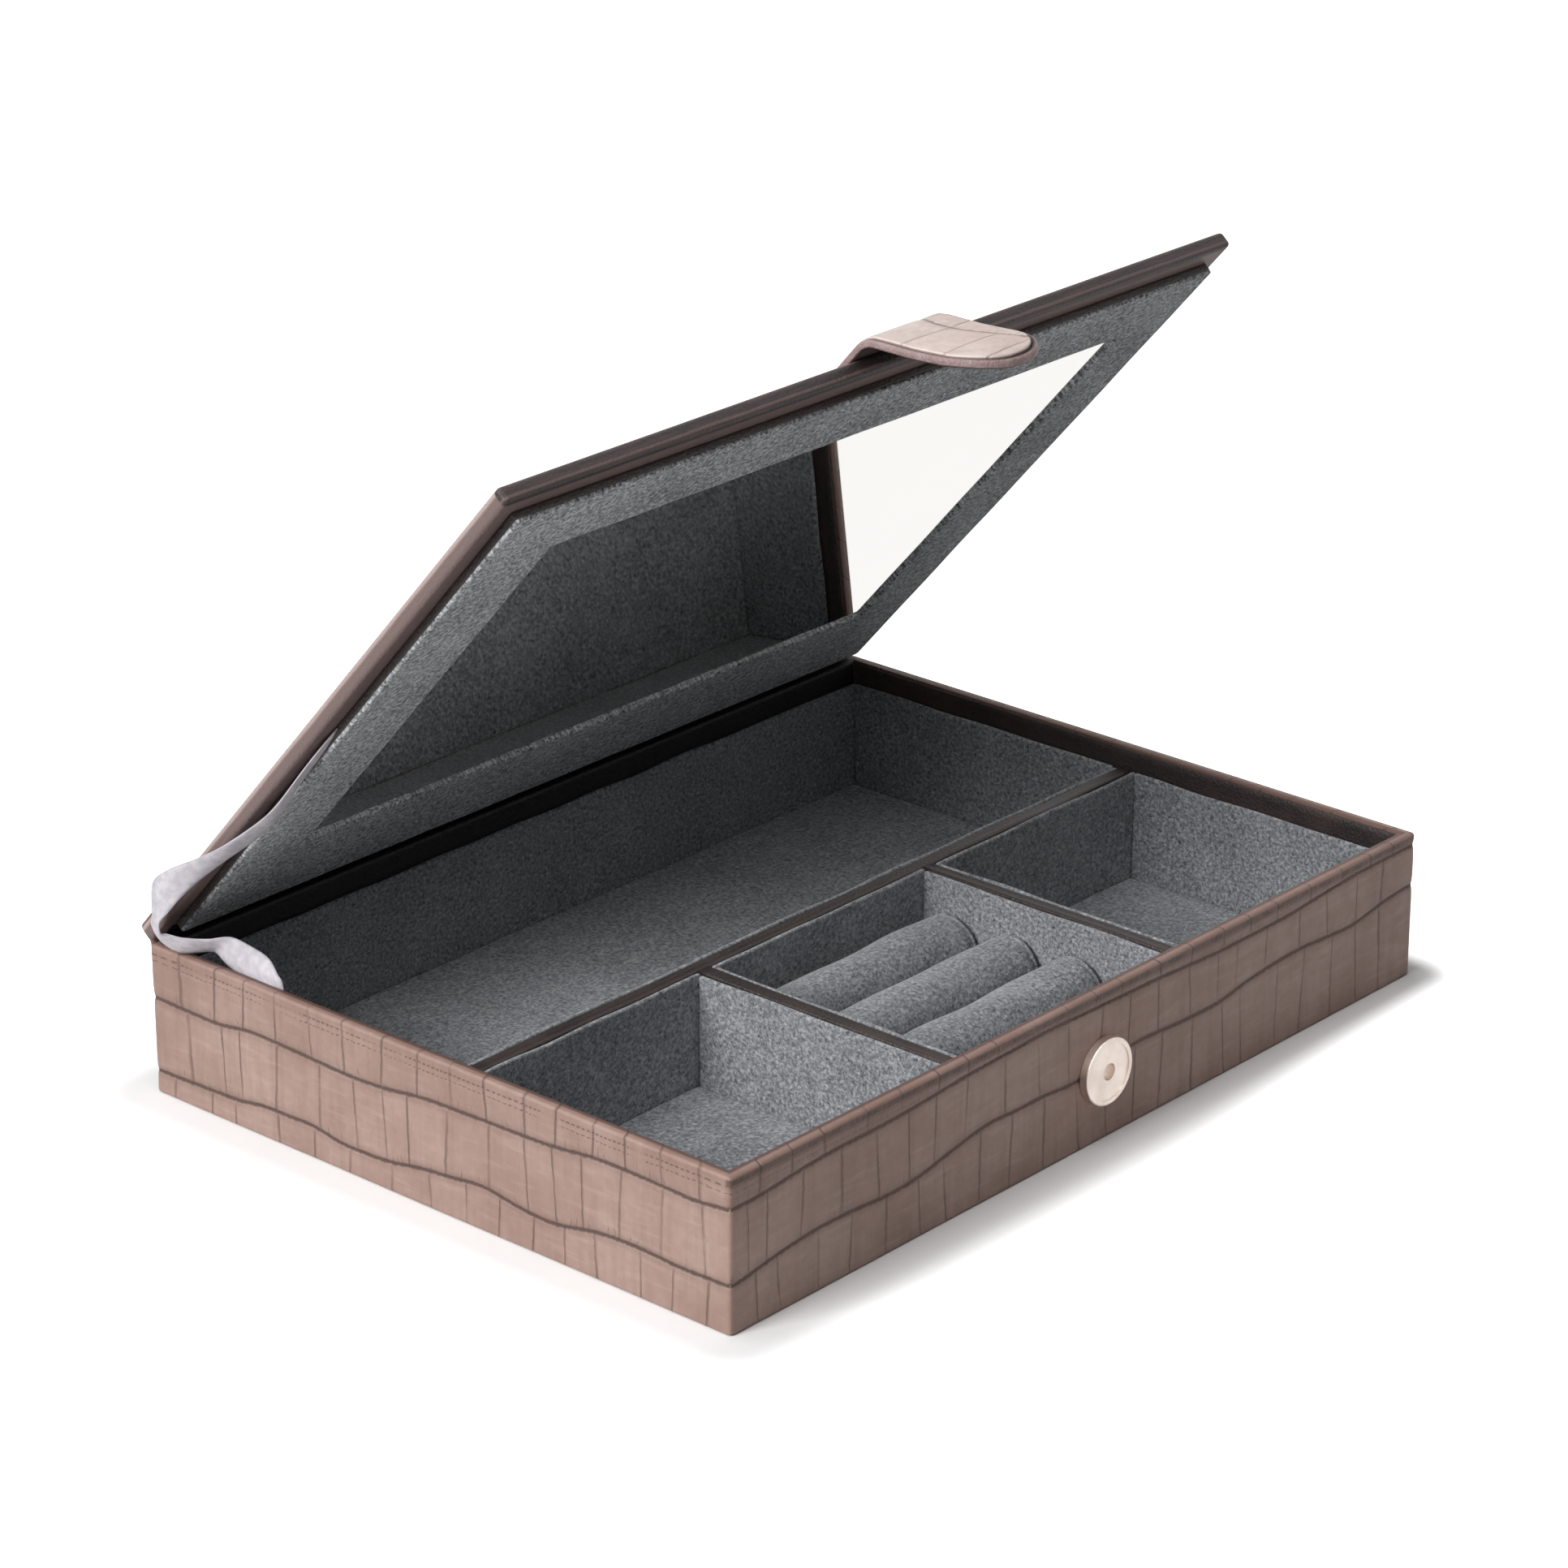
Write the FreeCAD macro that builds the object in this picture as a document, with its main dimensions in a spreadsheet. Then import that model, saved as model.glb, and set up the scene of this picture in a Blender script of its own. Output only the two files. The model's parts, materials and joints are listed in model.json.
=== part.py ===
import FreeCAD, Part
import math
import os
import Sketcher

# A flat leatherette jewellery and cufflink box with a hinged lid. X runs along the hinge, -Y is the
# front with the snap, +Z is up, and the origin is the middle of the underside. The lid stands open.

Vector = FreeCAD.Vector
doc = FreeCAD.newDocument("cufflink_box")

# ---------------------------------------------------------------- sizes, in millimetres and degrees
SIZES = [
    ("box_width", 263.0),  # outside, along the hinge
    ("box_depth", 192.0),  # outside, front to back
    ("box_height", 40.0),  # underside to rim
    ("skin", 0.6),  # leatherette round the boards
    ("wall_board", 2.8),
    ("lining", 0.5),  # dark leatherette inside the walls
    ("lining_drop", 18.0),  # how far the dark lining reaches down from the rim
    ("bottom_board", 2.5),
    ("bottom_turn", 12.0),  # leatherette turned under the box
    ("sheet_gap", 0.3),  # gap round the underside sheet
    ("corner_round", 1.2),  # outside corners of the covering
    ("rim_round", 0.9),
    ("divider_board", 3.0),
    ("divider_wrap", 0.5),
    ("divider_drop", 5.8),  # divider tops below the rim
    ("wrap_reach", 14.0),  # how far the divider wrap reaches down
    ("long_divider_y", -4.5),
    ("short_divider_x", 42.6),
    ("seat_gap", 0.1),  # a divider's ends to what they meet
    ("card", 1.4),  # felt-covered liner card
    ("card_gap", 0.4),  # card to wall or divider
    ("floor_pad", 1.2),
    ("pad_gap", 0.1),
    ("roll_count", 4),
    ("roll_rise", 21.5),  # ring roll above its floor pad
    ("roll_slot", 2.0),  # slot between ring rolls
    ("roll_end_gap", 0.3),
    ("roll_end_round", 1.2),
    ("closure_x", 2.5),  # strap and snap lie this far right of the middle
    ("snap_drop", 21.1),  # rim down to the snap's middle
    ("snap_diameter", 17.6),
    ("snap_thickness", 2.4),
    ("snap_rim", 1.4),  # width of the raised rim on the snap's face
    ("snap_dish", 0.3),  # depth of the face inside that rim
    ("snap_round", 0.5),
    ("socket_diameter", 4.4),
    ("socket_depth", 1.7),
    ("magnet_outer", 14.6),
    ("magnet_inner", 6.0),
    ("magnet_thickness", 1.0),
    ("prong_width", 4.0),
    ("prong_thickness", 0.6),
    ("prong_spread", 3.2),  # prong from the snap's centre
    ("prong_bend", 6.0),  # bent prong's end from the centre
    ("metal_gap", 0.1),  # round metal pieces set into others
    ("backplate_diameter", 14.0),
    ("backplate_thickness", 0.7),
    ("mate_diameter", 17.0),  # snap half on the strap
    ("stem_diameter", 3.0),
    ("head_diameter", 10.0),
    ("snap_gap", 0.3),  # between the two halves of the snap when shut
    ("stud_diameter", 3.8),
    ("stud_length", 1.5),
    ("hinge_gap", 0.3),  # lid underside above the rim when shut
    ("open_angle", 48.6),  # the lid as it stands
    ("lid_board", 3.2),
    ("lid_skin", 0.6),
    ("lid_turn", 16.0),  # edge leatherette turned under the lid
    ("lid_inset", 1.0),  # lid edge to the cover on its top
    ("lid_round", 0.5),
    ("panel_side", 5.2),  # lid edge to inner panel, left and right
    ("panel_front", 6.3),
    ("panel_rear", 6.3),
    ("panel_card", 1.6),
    ("panel_skin", 0.4),
    ("panel_turn", 10.0),
    ("felt_face", 1.0),
    ("felt_round", 0.4),
    ("window_side", 24.3),  # felt border left of the mirror
    ("window_right", 21.3),
    ("window_front", 20.7),
    ("window_rear", 29.7),
    ("mirror_lap", 3.0),  # mirror edge under the felt border
    ("mirror_gap", 0.2),
    ("mirror_glass", 1.8),
    ("strap_width", 28.0),
    ("strap_root", 30.0),  # strap glued down on the lid
    ("strap_layer", 0.9),
    ("strap_core", 0.8),
    ("strap_overhang", 5.6),  # lid edge to the strap's bending line
    ("strap_bend", 46.0),  # the strap droops this much from the lid
    ("strap_clear", 3.4),  # bending zone each side of its line
    ("strap_tip", 9.9),  # snap's middle to the strap's tip
    ("strap_bend_gap", 0.1),
    ("strap_core_inset", 0.8),
    ("strap_curve", 7.0),  # bend radius at the strap's middle
    ("strap_tip_share", 0.48),  # tip corner radius over strap width
    ("hinge_strip", 0.6),
    ("hinge_touch", 0.05),
    ("strip_reach", 12.0),  # outer hinge strip down the back wall and over the lid
    ("liner_strip", 0.25),
    ("liner_reach", 7.0),
    ("liner_end", 0.8),  # short of the panel in the lid
    ("ribbon_thickness", 0.3),
]

sheet = doc.addObject("Spreadsheet::Sheet", "sizes")
for row, (name, value) in enumerate(SIZES, start=1):
    sheet.set(f"A{row}", name)
    sheet.set(f"B{row}", f"{value:g}")
    sheet.setAlias(f"B{row}", name)
doc.recompute()


def size(name):
    return float(sheet.get(name))


# ---------------------------------------------------------------- places worked out from the sizes
half_width = "(sizes.box_width / 2)"
half_depth = "(sizes.box_depth / 2)"
board_out_x = f"({half_width} - sizes.skin)"
board_out_y = f"({half_depth} - sizes.skin)"
board_in_x = f"({board_out_x} - sizes.wall_board)"
board_in_y = f"({board_out_y} - sizes.wall_board)"
inside_x = f"({board_in_x} - sizes.lining)"
inside_y = f"({board_in_y} - sizes.lining)"
board_top = "(sizes.box_height - sizes.skin)"
floor_z = "(sizes.skin + sizes.bottom_board)"
pad_top = f"({floor_z} + sizes.floor_pad)"
divider_top = "(sizes.box_height - sizes.divider_drop)"
divider_half = "(sizes.divider_board / 2 + sizes.divider_wrap)"
long_front = f"(sizes.long_divider_y - {divider_half})"
long_back = f"(sizes.long_divider_y + {divider_half})"
short_near = f"(sizes.short_divider_x - {divider_half})"
short_far = f"(sizes.short_divider_x + {divider_half})"

lid_thickness = "(sizes.lid_board + 2 * sizes.lid_skin)"
strap_half = "(sizes.strap_width / 2)"
strap_thickness = "(2 * sizes.strap_layer + sizes.strap_core)"
hinge_z = "(sizes.box_height + sizes.hinge_gap)"
snap_height = "(sizes.box_height - sizes.snap_drop)"
open_turn = "(sizes.open_angle * 1 deg)"
line_reach = "(sizes.box_depth + sizes.strap_overhang)"
line_rise = f"({lid_thickness} + {strap_thickness} / 2)"


def lid_point(y, z):
    """World Y and Z of a point that is y behind and z above the hinge line on the shut lid."""
    world_y = f"({half_depth} + ({y}) * cos({open_turn}) + ({z}) * sin({open_turn}))"
    world_z = f"({hinge_z} - ({y}) * sin({open_turn}) + ({z}) * cos({open_turn}))"
    return world_y, world_z


line_y, line_z = lid_point(f"-{line_reach}", line_rise)
LID = f"placement(vector(0; {half_depth}; {hinge_z}); rotation(vector(1; 0; 0); -sizes.open_angle))"
STRAP = (
    f"placement(vector(sizes.closure_x; {line_y}; {line_z});"
    " rotation(vector(1; 0; 0); sizes.strap_bend - sizes.open_angle))"
)

pieces = []


# ---------------------------------------------------------------- building blocks
def new_body(label, frame=None):
    """A body that stands in the box's frame, or in the lid's or strap's."""
    body = doc.addObject("PartDesign::Body", label)
    body.Label = label
    if frame:
        body.setExpression("Placement", frame)
    pieces.append(body)
    return body


def new_sketch(body, role, place):
    """A sketch parallel to one of the body's own planes; place is in that plane's axes."""
    plane = next(item for item in body.Origin.OriginFeatures if item.Role == role)
    sketch = body.newObject("Sketcher::SketchObject", f"{body.Name}_sketch")
    sketch.AttachmentSupport = (plane, [""])
    sketch.MapMode = "FlatFace"
    for axis, value in zip("xyz", place):
        sketch.setExpression(f"AttachmentOffset.Base.{axis}", value)
    return sketch


def draw_polygon(sketch, points):
    """A closed outline whose corners are bound to the sheet."""
    count = len(points)
    first = sketch.GeometryCount
    for index in range(count):
        turn = 2 * math.pi * index / count
        after = 2 * math.pi * (index + 1) / count
        start = Vector(10 * math.cos(turn), 10 * math.sin(turn), 0)
        end = Vector(10 * math.cos(after), 10 * math.sin(after), 0)
        sketch.addGeometry(Part.LineSegment(start, end), False)
    for index in range(count):
        line, following = first + index, first + (index + 1) % count
        sketch.addConstraint(Sketcher.Constraint("Coincident", line, 2, following, 1))
    for index, corner in enumerate(points):
        for kind, value in zip(("DistanceX", "DistanceY"), corner):
            number = sketch.addConstraint(Sketcher.Constraint(kind, -1, 1, first + index, 1, 1.0))
            name = f"{kind}_{first + index}"
            sketch.renameConstraint(number, name)
            sketch.setExpression(f"Constraints.{name}", value)


def draw_circle(sketch, diameter):
    index = sketch.addGeometry(Part.Circle(Vector(0, 0, 0), Vector(0, 0, 1), 5.0), False)
    sketch.addConstraint(Sketcher.Constraint("Coincident", index, 3, -1, 1))
    number = sketch.addConstraint(Sketcher.Constraint("Diameter", index, 10.0))
    sketch.renameConstraint(number, "across")
    sketch.setExpression("Constraints.across", diameter)


def rectangle(x, y):
    return [(x[0], y[0]), (x[1], y[0]), (x[1], y[1]), (x[0], y[1])]


def pad(body, sketch, length, midplane=False):
    feature = body.newObject("PartDesign::Pad", f"{body.Name}_pad")
    feature.Profile = sketch
    feature.Midplane = midplane
    feature.setExpression("Length", length)
    return feature


def pocket(body, sketch, length, midplane=False):
    """Cuts from the sketch towards its back, and makes sure that something was cut."""
    doc.recompute()
    before = body.Shape.Volume
    feature = body.newObject("PartDesign::Pocket", f"{body.Name}_pocket")
    feature.Profile = sketch
    feature.Midplane = midplane
    feature.setExpression("Length", length)
    doc.recompute()
    if body.Shape.Volume > before - 1e-6:
        raise RuntimeError(f"{body.Label}: a pocket cuts nothing")
    return feature


def slab(label, x, y, z, frame=None):
    """A flat rectangular piece between three pairs of limits."""
    body = new_body(label, frame)
    sketch = new_sketch(body, "XY_Plane", ("0", "0", z[0]))
    draw_polygon(sketch, rectangle(x, y))
    pad(body, sketch, f"({z[1]}) - ({z[0]})")
    return body


def window(body, x, y, z):
    """A rectangular opening or hollow in a piece."""
    sketch = new_sketch(body, "XY_Plane", ("0", "0", z[1]))
    draw_polygon(sketch, rectangle(x, y))
    return pocket(body, sketch, f"({z[1]}) - ({z[0]})")


def symmetric(reach, inset="0"):
    return uneven(reach, inset, inset)


def uneven(reach, left, right):
    return f"-({reach} - {left})", f"({reach} - {right})"


def round_edges(body, radius, wanted):
    """Rounds the edges that wanted(edge) picks on the body's last feature."""
    doc.recompute()
    tip = body.Tip
    names = [f"Edge{number}" for number, edge in enumerate(tip.Shape.Edges, start=1) if wanted(edge)]
    fillet = body.newObject("PartDesign::Fillet", f"{body.Name}_fillet")
    fillet.Base = (tip, names)
    fillet.setExpression("Radius", radius)
    doc.recompute()
    return fillet


def runs_along(edge, axis):
    if edge.Curve.TypeId != "Part::GeomLine":
        return False
    return abs(edge.tangentAt(edge.FirstParameter)[axis]) > 0.999


def lies_at(edge, axis, value):
    box = edge.BoundBox
    low = (box.XMin, box.YMin, box.ZMin)[axis]
    high = (box.XMax, box.YMax, box.ZMax)[axis]
    return abs(low - value) < 1e-4 and abs(high - value) < 1e-4


def turned(label, frame, outlines, role="XY_Plane", place=("0", "0", "0")):
    """A piece turned about its sketch's upright axis; the outlines give radius and height."""
    body = new_body(label, frame)
    sketch = new_sketch(body, role, place)
    for points in outlines:
        draw_polygon(sketch, points)
    feature = body.newObject("PartDesign::Revolution", f"{label}_turn")
    feature.Profile = sketch
    feature.ReferenceAxis = (sketch, ["V_Axis"])
    feature.Angle = 360
    return body


def strip(label, points, middle, width, frame=None):
    """A strip of one section, drawn as y and z, that runs along X."""
    body = new_body(label, frame)
    sketch = new_sketch(body, "YZ_Plane", ("0", "0", middle))
    draw_polygon(sketch, points)
    pad(body, sketch, width, midplane=True)
    return body


# ---------------------------------------------------------------- base: boards
full_x = symmetric(board_out_x)
full_y = symmetric(board_out_y)
between_x = symmetric(board_in_x)
wall_z = ("sizes.skin", board_top)

slab("bottom_board", between_x, symmetric(board_in_y), ("sizes.skin", floor_z))
slab("back_wall_board", full_x, (board_in_y, board_out_y), wall_z)
slab("left_wall_board", (f"-{board_out_x}", f"-{board_in_x}"), symmetric(board_in_y), wall_z)
slab("right_wall_board", (board_in_x, board_out_x), symmetric(board_in_y), wall_z)
front_board = slab("front_wall_board", full_x, (f"-{board_out_y}", f"-{board_in_y}"), wall_z)

sheet_x = symmetric(half_width, "(sizes.bottom_turn + sizes.sheet_gap)")
sheet_y = symmetric(half_depth, "(sizes.bottom_turn + sizes.sheet_gap)")
slab("bottom_sheet", sheet_x, sheet_y, ("0", "sizes.skin"))


# ---------------------------------------------------------------- base: coverings
def rounded_block(label, x, y, z, frame, corner, top):
    """A block with rounded upright corners and a rounded upper edge."""
    body = slab(label, x, y, z, frame)
    round_edges(body, corner, lambda edge: runs_along(edge, 2))
    upper = max(vertex.Z for vertex in body.Tip.Shape.Vertexes)
    round_edges(body, top, lambda edge: lies_at(edge, 2, upper))
    return body


covering = rounded_block(
    "base_covering",
    symmetric(half_width),
    symmetric(half_depth),
    ("0", "sizes.box_height"),
    None,
    "sizes.corner_round",
    "sizes.rim_round",
)
window(covering, full_x, full_y, wall_z)
window(covering, between_x, symmetric(board_in_y), (board_top, "sizes.box_height"))
turned_x = symmetric(half_width, "sizes.bottom_turn")
turned_y = symmetric(half_depth, "sizes.bottom_turn")
window(covering, turned_x, turned_y, ("0", "sizes.skin"))

lining_z = ("(sizes.box_height - sizes.lining_drop)", board_top)
lining = slab("rim_lining", between_x, symmetric(board_in_y), lining_z)
window(lining, symmetric(inside_x), symmetric(inside_y), lining_z)


# ---------------------------------------------------------------- base: dividers
def divider(label, middle, ends, along_x):
    """A board on edge with leatherette folded over its top."""
    core = (f"({middle} - sizes.divider_board / 2)", f"({middle} + sizes.divider_board / 2)")
    outer = (f"({middle} - {divider_half})", f"({middle} + {divider_half})")
    core_top = f"({divider_top} - sizes.divider_wrap)"
    wrap_z = (f"({divider_top} - sizes.wrap_reach)", divider_top)
    fold_z = (wrap_z[0], core_top)
    if along_x:
        slab(f"{label}_board", ends, core, (floor_z, core_top))
        wrap = slab(f"{label}_wrap", ends, outer, wrap_z)
        window(wrap, ends, core, fold_z)
    else:
        slab(f"{label}_board", core, ends, (floor_z, core_top))
        wrap = slab(f"{label}_wrap", outer, ends, wrap_z)
        window(wrap, core, ends, fold_z)


short_ends = (f"-({inside_y} - sizes.seat_gap)", f"({long_front} - sizes.seat_gap)")
divider("long_divider", "sizes.long_divider_y", symmetric(inside_x, "sizes.seat_gap"), True)
divider("left_divider", "(-sizes.short_divider_x)", short_ends, False)
divider("right_divider", "sizes.short_divider_x", short_ends, False)


# ---------------------------------------------------------------- base: felt liners
def compartment(name, x, y):
    """Four felt-covered cards standing round a compartment and a felt-covered floor pad."""
    outer_x = (f"({x[0]} + sizes.card_gap)", f"({x[1]} - sizes.card_gap)")
    outer_y = (f"({y[0]} + sizes.card_gap)", f"({y[1]} - sizes.card_gap)")
    inner_x = (f"({outer_x[0]} + sizes.card)", f"({outer_x[1]} - sizes.card)")
    inner_y = (f"({outer_y[0]} + sizes.card)", f"({outer_y[1]} - sizes.card)")
    card_z = (floor_z, divider_top)
    slab(f"{name}_liner_front", outer_x, (outer_y[0], inner_y[0]), card_z)
    slab(f"{name}_liner_back", outer_x, (inner_y[1], outer_y[1]), card_z)
    slab(f"{name}_liner_left", (outer_x[0], inner_x[0]), inner_y, card_z)
    slab(f"{name}_liner_right", (inner_x[1], outer_x[1]), inner_y, card_z)
    pad_x = (f"({inner_x[0]} + sizes.pad_gap)", f"({inner_x[1]} - sizes.pad_gap)")
    pad_y = (f"({inner_y[0]} + sizes.pad_gap)", f"({inner_y[1]} - sizes.pad_gap)")
    slab(f"{name}_floor_pad", pad_x, pad_y, (floor_z, pad_top))
    return inner_x, inner_y


front_y = (f"-{inside_y}", long_front)
compartment("back", symmetric(inside_x), (long_back, inside_y))
compartment("left", (f"-{inside_x}", f"-{short_far}"), front_y)
compartment("right", (short_far, inside_x), front_y)
ring_x, ring_y = compartment("ring", (f"-{short_near}", short_near), front_y)

roll_pitch = f"((({ring_y[1]}) - ({ring_y[0]})) / sizes.roll_count)"
for index in range(int(size("roll_count"))):
    near = f"({ring_y[0]} + {index} * {roll_pitch} + sizes.roll_slot / 2)"
    far = f"({ring_y[0]} + {index + 1} * {roll_pitch} - sizes.roll_slot / 2)"
    ends = (f"({ring_x[0]} + sizes.roll_end_gap)", f"({ring_x[1]} - sizes.roll_end_gap)")
    roll = slab(f"ring_roll_{index + 1}", ends, (near, far), (pad_top, f"({pad_top} + sizes.roll_rise)"))
    doc.recompute()
    roll_top = roll.Shape.BoundBox.ZMax
    round_edges(
        roll,
        f"0.48 * ({roll_pitch} - sizes.roll_slot)",
        lambda edge: runs_along(edge, 0) and lies_at(edge, 2, roll_top),
    )
    box = roll.Shape.BoundBox
    round_edges(
        roll,
        "sizes.roll_end_round",
        lambda edge: (lies_at(edge, 0, box.XMin) or lies_at(edge, 0, box.XMax))
        and edge.BoundBox.ZMax > size("skin") + size("bottom_board") + size("floor_pad") + 1e-3,
    )


# ---------------------------------------------------------------- base: magnetic snap
SNAP = f"placement(vector(sizes.closure_x; -{half_depth}; {snap_height}); rotation(vector(1; 0; 0); 0))"
disc_radius = "(sizes.snap_diameter / 2)"
socket_radius = "(sizes.socket_diameter / 2)"
face_y = "(sizes.snap_dish - sizes.snap_thickness)"
socket_floor = f"({face_y} + sizes.socket_depth)"
magnet_low = "(-sizes.snap_thickness / 2 - sizes.magnet_thickness / 2)"
magnet_high = "(-sizes.snap_thickness / 2 + sizes.magnet_thickness / 2)"
magnet_inner = "(sizes.magnet_inner / 2)"
magnet_outer = "(sizes.magnet_outer / 2)"

disc_outline = [
    ("0", "0"),
    (disc_radius, "0"),
    (disc_radius, "-sizes.snap_thickness"),
    (f"{disc_radius} - sizes.snap_rim", "-sizes.snap_thickness"),
    (f"{disc_radius} - sizes.snap_rim", face_y),
    (socket_radius, face_y),
    (socket_radius, socket_floor),
    ("0", socket_floor),
]
hollow = rectangle(
    (f"{magnet_inner} - sizes.metal_gap", f"{magnet_outer} + sizes.metal_gap"), (magnet_low, magnet_high)
)
snap_disc = turned("snap_disc", SNAP, [disc_outline, hollow])
round_edges(
    snap_disc,
    "sizes.snap_round",
    lambda edge: lies_at(edge, 1, -size("snap_thickness"))
    and edge.BoundBox.XLength > size("magnet_outer") + 1,
)
turned("snap_magnet", SNAP, [rectangle((magnet_inner, magnet_outer), (magnet_low, magnet_high))])

wall_inside = "(sizes.skin + sizes.wall_board)"
plate_back = f"({wall_inside} - sizes.metal_gap - sizes.prong_thickness)"
plate_front = f"({plate_back} - sizes.backplate_thickness)"
prong_end = f"({plate_back} + sizes.prong_thickness)"
plate_radius = "(sizes.backplate_diameter / 2)"
backplate = turned("snap_backplate", SNAP, [rectangle(("0", plate_radius), (plate_front, plate_back))])

prong_z = ("(-sizes.prong_width / 2 - sizes.metal_gap)", "(sizes.prong_width / 2 + sizes.metal_gap)")
for side in (-1, 1):
    near = f"({side} * (sizes.prong_spread - sizes.prong_thickness / 2))"
    far = f"({side} * (sizes.prong_spread + sizes.prong_thickness / 2))"
    tip = f"({side} * sizes.prong_bend)"
    prong = new_sketch(snap_disc, "XY_Plane", ("0", "0", "0"))
    bent = [(near, "0"), (far, "0"), (far, plate_back)]
    bent += [(tip, plate_back), (tip, prong_end), (near, prong_end)]
    draw_polygon(prong, bent)
    pad(snap_disc, prong, "sizes.prong_width", midplane=True)

    slot_near = f"({near} - {side} * sizes.metal_gap)"
    slot_far = f"({far} + {side} * sizes.metal_gap)"
    window(backplate, (slot_near, slot_far), (plate_front, plate_back), prong_z)
    slot_x = (f"(sizes.closure_x + {slot_near})", f"(sizes.closure_x + {slot_far})")
    slot_z = (f"({snap_height} + {prong_z[0]})", f"({snap_height} + {prong_z[1]})")
    window(covering, slot_x, (f"-{half_depth}", f"-{board_out_y}"), slot_z)
    window(front_board, slot_x, (f"-{board_out_y}", f"-{board_in_y}"), slot_z)

recess_depth = f"({wall_inside} - {plate_front})"
recess_back = f"{board_in_y} + {recess_depth}"
recess = new_sketch(front_board, "XZ_Plane", ("sizes.closure_x", snap_height, recess_back))
draw_circle(recess, "sizes.backplate_diameter + 2 * sizes.metal_gap")
pocket(front_board, recess, recess_depth)


# ---------------------------------------------------------------- hinge strips, bent as the lid stands
touch = "sizes.hinge_touch"
outer = f"({touch} + sizes.hinge_strip)"
inner = f"({touch} + sizes.liner_strip)"
half_turn = f"tan({open_turn} / 2)"
over_lid = f"({lid_thickness} + {touch})"
spine = [
    (f"{half_depth} + {touch}", "sizes.box_height - sizes.strip_reach"),
    (f"{half_depth} + {outer}", "sizes.box_height - sizes.strip_reach"),
    lid_point(outer, f"{outer} * {half_turn}"),
    lid_point(outer, f"{over_lid} + sizes.hinge_strip"),
    lid_point("-sizes.strip_reach", f"{over_lid} + sizes.hinge_strip"),
    lid_point("-sizes.strip_reach", over_lid),
    lid_point(touch, over_lid),
    lid_point(touch, f"{touch} * {half_turn}"),
]
spine_width = "2 * (sizes.box_width / 2 - sizes.corner_round)"
strip("hinge_spine", spine, "0", spine_width)

fold = f"((sizes.hinge_gap - {inner} - {inner} * cos({open_turn})) / sin({open_turn}))"
liner = [
    (f"{inside_y} - {touch}", "sizes.box_height - sizes.liner_reach"),
    (f"{inside_y} - {touch}", f"sizes.box_height + {touch}"),
    (f"{half_depth} - sizes.liner_strip", f"sizes.box_height + {touch}"),
    lid_point(f"-{touch}", f"-{touch}"),
    lid_point("-(sizes.panel_rear - sizes.liner_end)", f"-{touch}"),
    lid_point("-(sizes.panel_rear - sizes.liner_end)", f"-{inner}"),
    lid_point(fold, f"-{inner}"),
    (f"{inside_y} - {inner}", f"sizes.box_height + {inner}"),
    (f"{inside_y} - {inner}", "sizes.box_height - sizes.liner_reach"),
]
strip("hinge_liner", liner, "0", f"2 * ({inside_x} - sizes.card_gap)")


# ---------------------------------------------------------------- lid
def lid_y(front, rear):
    return f"-(sizes.box_depth - {front})", f"-({rear})"


board_x = symmetric(half_width, "sizes.lid_skin")
board_y = lid_y("sizes.lid_skin", "sizes.lid_skin")
board_z = ("sizes.lid_skin", "(sizes.lid_skin + sizes.lid_board)")
slab("lid_board", board_x, board_y, board_z, LID)

lid_covering = slab("lid_covering", symmetric(half_width), lid_y("0", "0"), ("0", lid_thickness), LID)
round_edges(lid_covering, "sizes.corner_round", lambda edge: runs_along(edge, 2))
lid_top = size("lid_board") + 2 * size("lid_skin")
round_edges(
    lid_covering,
    "sizes.lid_round",
    lambda edge: lies_at(edge, 2, 0.0) or lies_at(edge, 2, lid_top),
)
window(lid_covering, board_x, board_y, board_z)
cover_x = symmetric(half_width, "sizes.lid_inset")
cover_y = lid_y("sizes.lid_inset", "sizes.lid_inset")
cover_z = (board_z[1], lid_thickness)
window(lid_covering, cover_x, cover_y, cover_z)
window(
    lid_covering,
    symmetric(half_width, "sizes.lid_turn"),
    lid_y("sizes.lid_turn", "sizes.lid_turn"),
    ("0", "sizes.lid_skin"),
)
slab("lid_top_cover", cover_x, cover_y, cover_z, LID)

panel_x = symmetric(half_width, "sizes.panel_side")
panel_y = lid_y("sizes.panel_front", "sizes.panel_rear")
core_x = symmetric(half_width, "(sizes.panel_side + sizes.panel_skin)")
core_y = lid_y("(sizes.panel_front + sizes.panel_skin)", "(sizes.panel_rear + sizes.panel_skin)")
left_border = "sizes.panel_side + sizes.window_side"
right_border = "sizes.panel_side + sizes.window_right"
front_border = "sizes.panel_front + sizes.window_front"
rear_border = "sizes.panel_rear + sizes.window_rear"
glass_lap = "sizes.mirror_lap"
hole_lap = "sizes.mirror_lap + sizes.mirror_gap"
glass_x = uneven(half_width, f"({left_border} - {glass_lap})", f"({right_border} - {glass_lap})")
glass_y = lid_y(f"({front_border} - {glass_lap})", f"({rear_border} - {glass_lap})")
hole_x = uneven(half_width, f"({left_border} - ({hole_lap}))", f"({right_border} - ({hole_lap}))")
hole_y = lid_y(f"({front_border} - ({hole_lap}))", f"({rear_border} - ({hole_lap}))")
turn_x = symmetric(half_width, "(sizes.panel_side + sizes.panel_turn)")
turn_y = lid_y("(sizes.panel_front + sizes.panel_turn)", "(sizes.panel_rear + sizes.panel_turn)")
wrap_low = "(-sizes.panel_card - sizes.panel_skin)"
felt_low = f"({wrap_low} - sizes.felt_face)"

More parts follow.
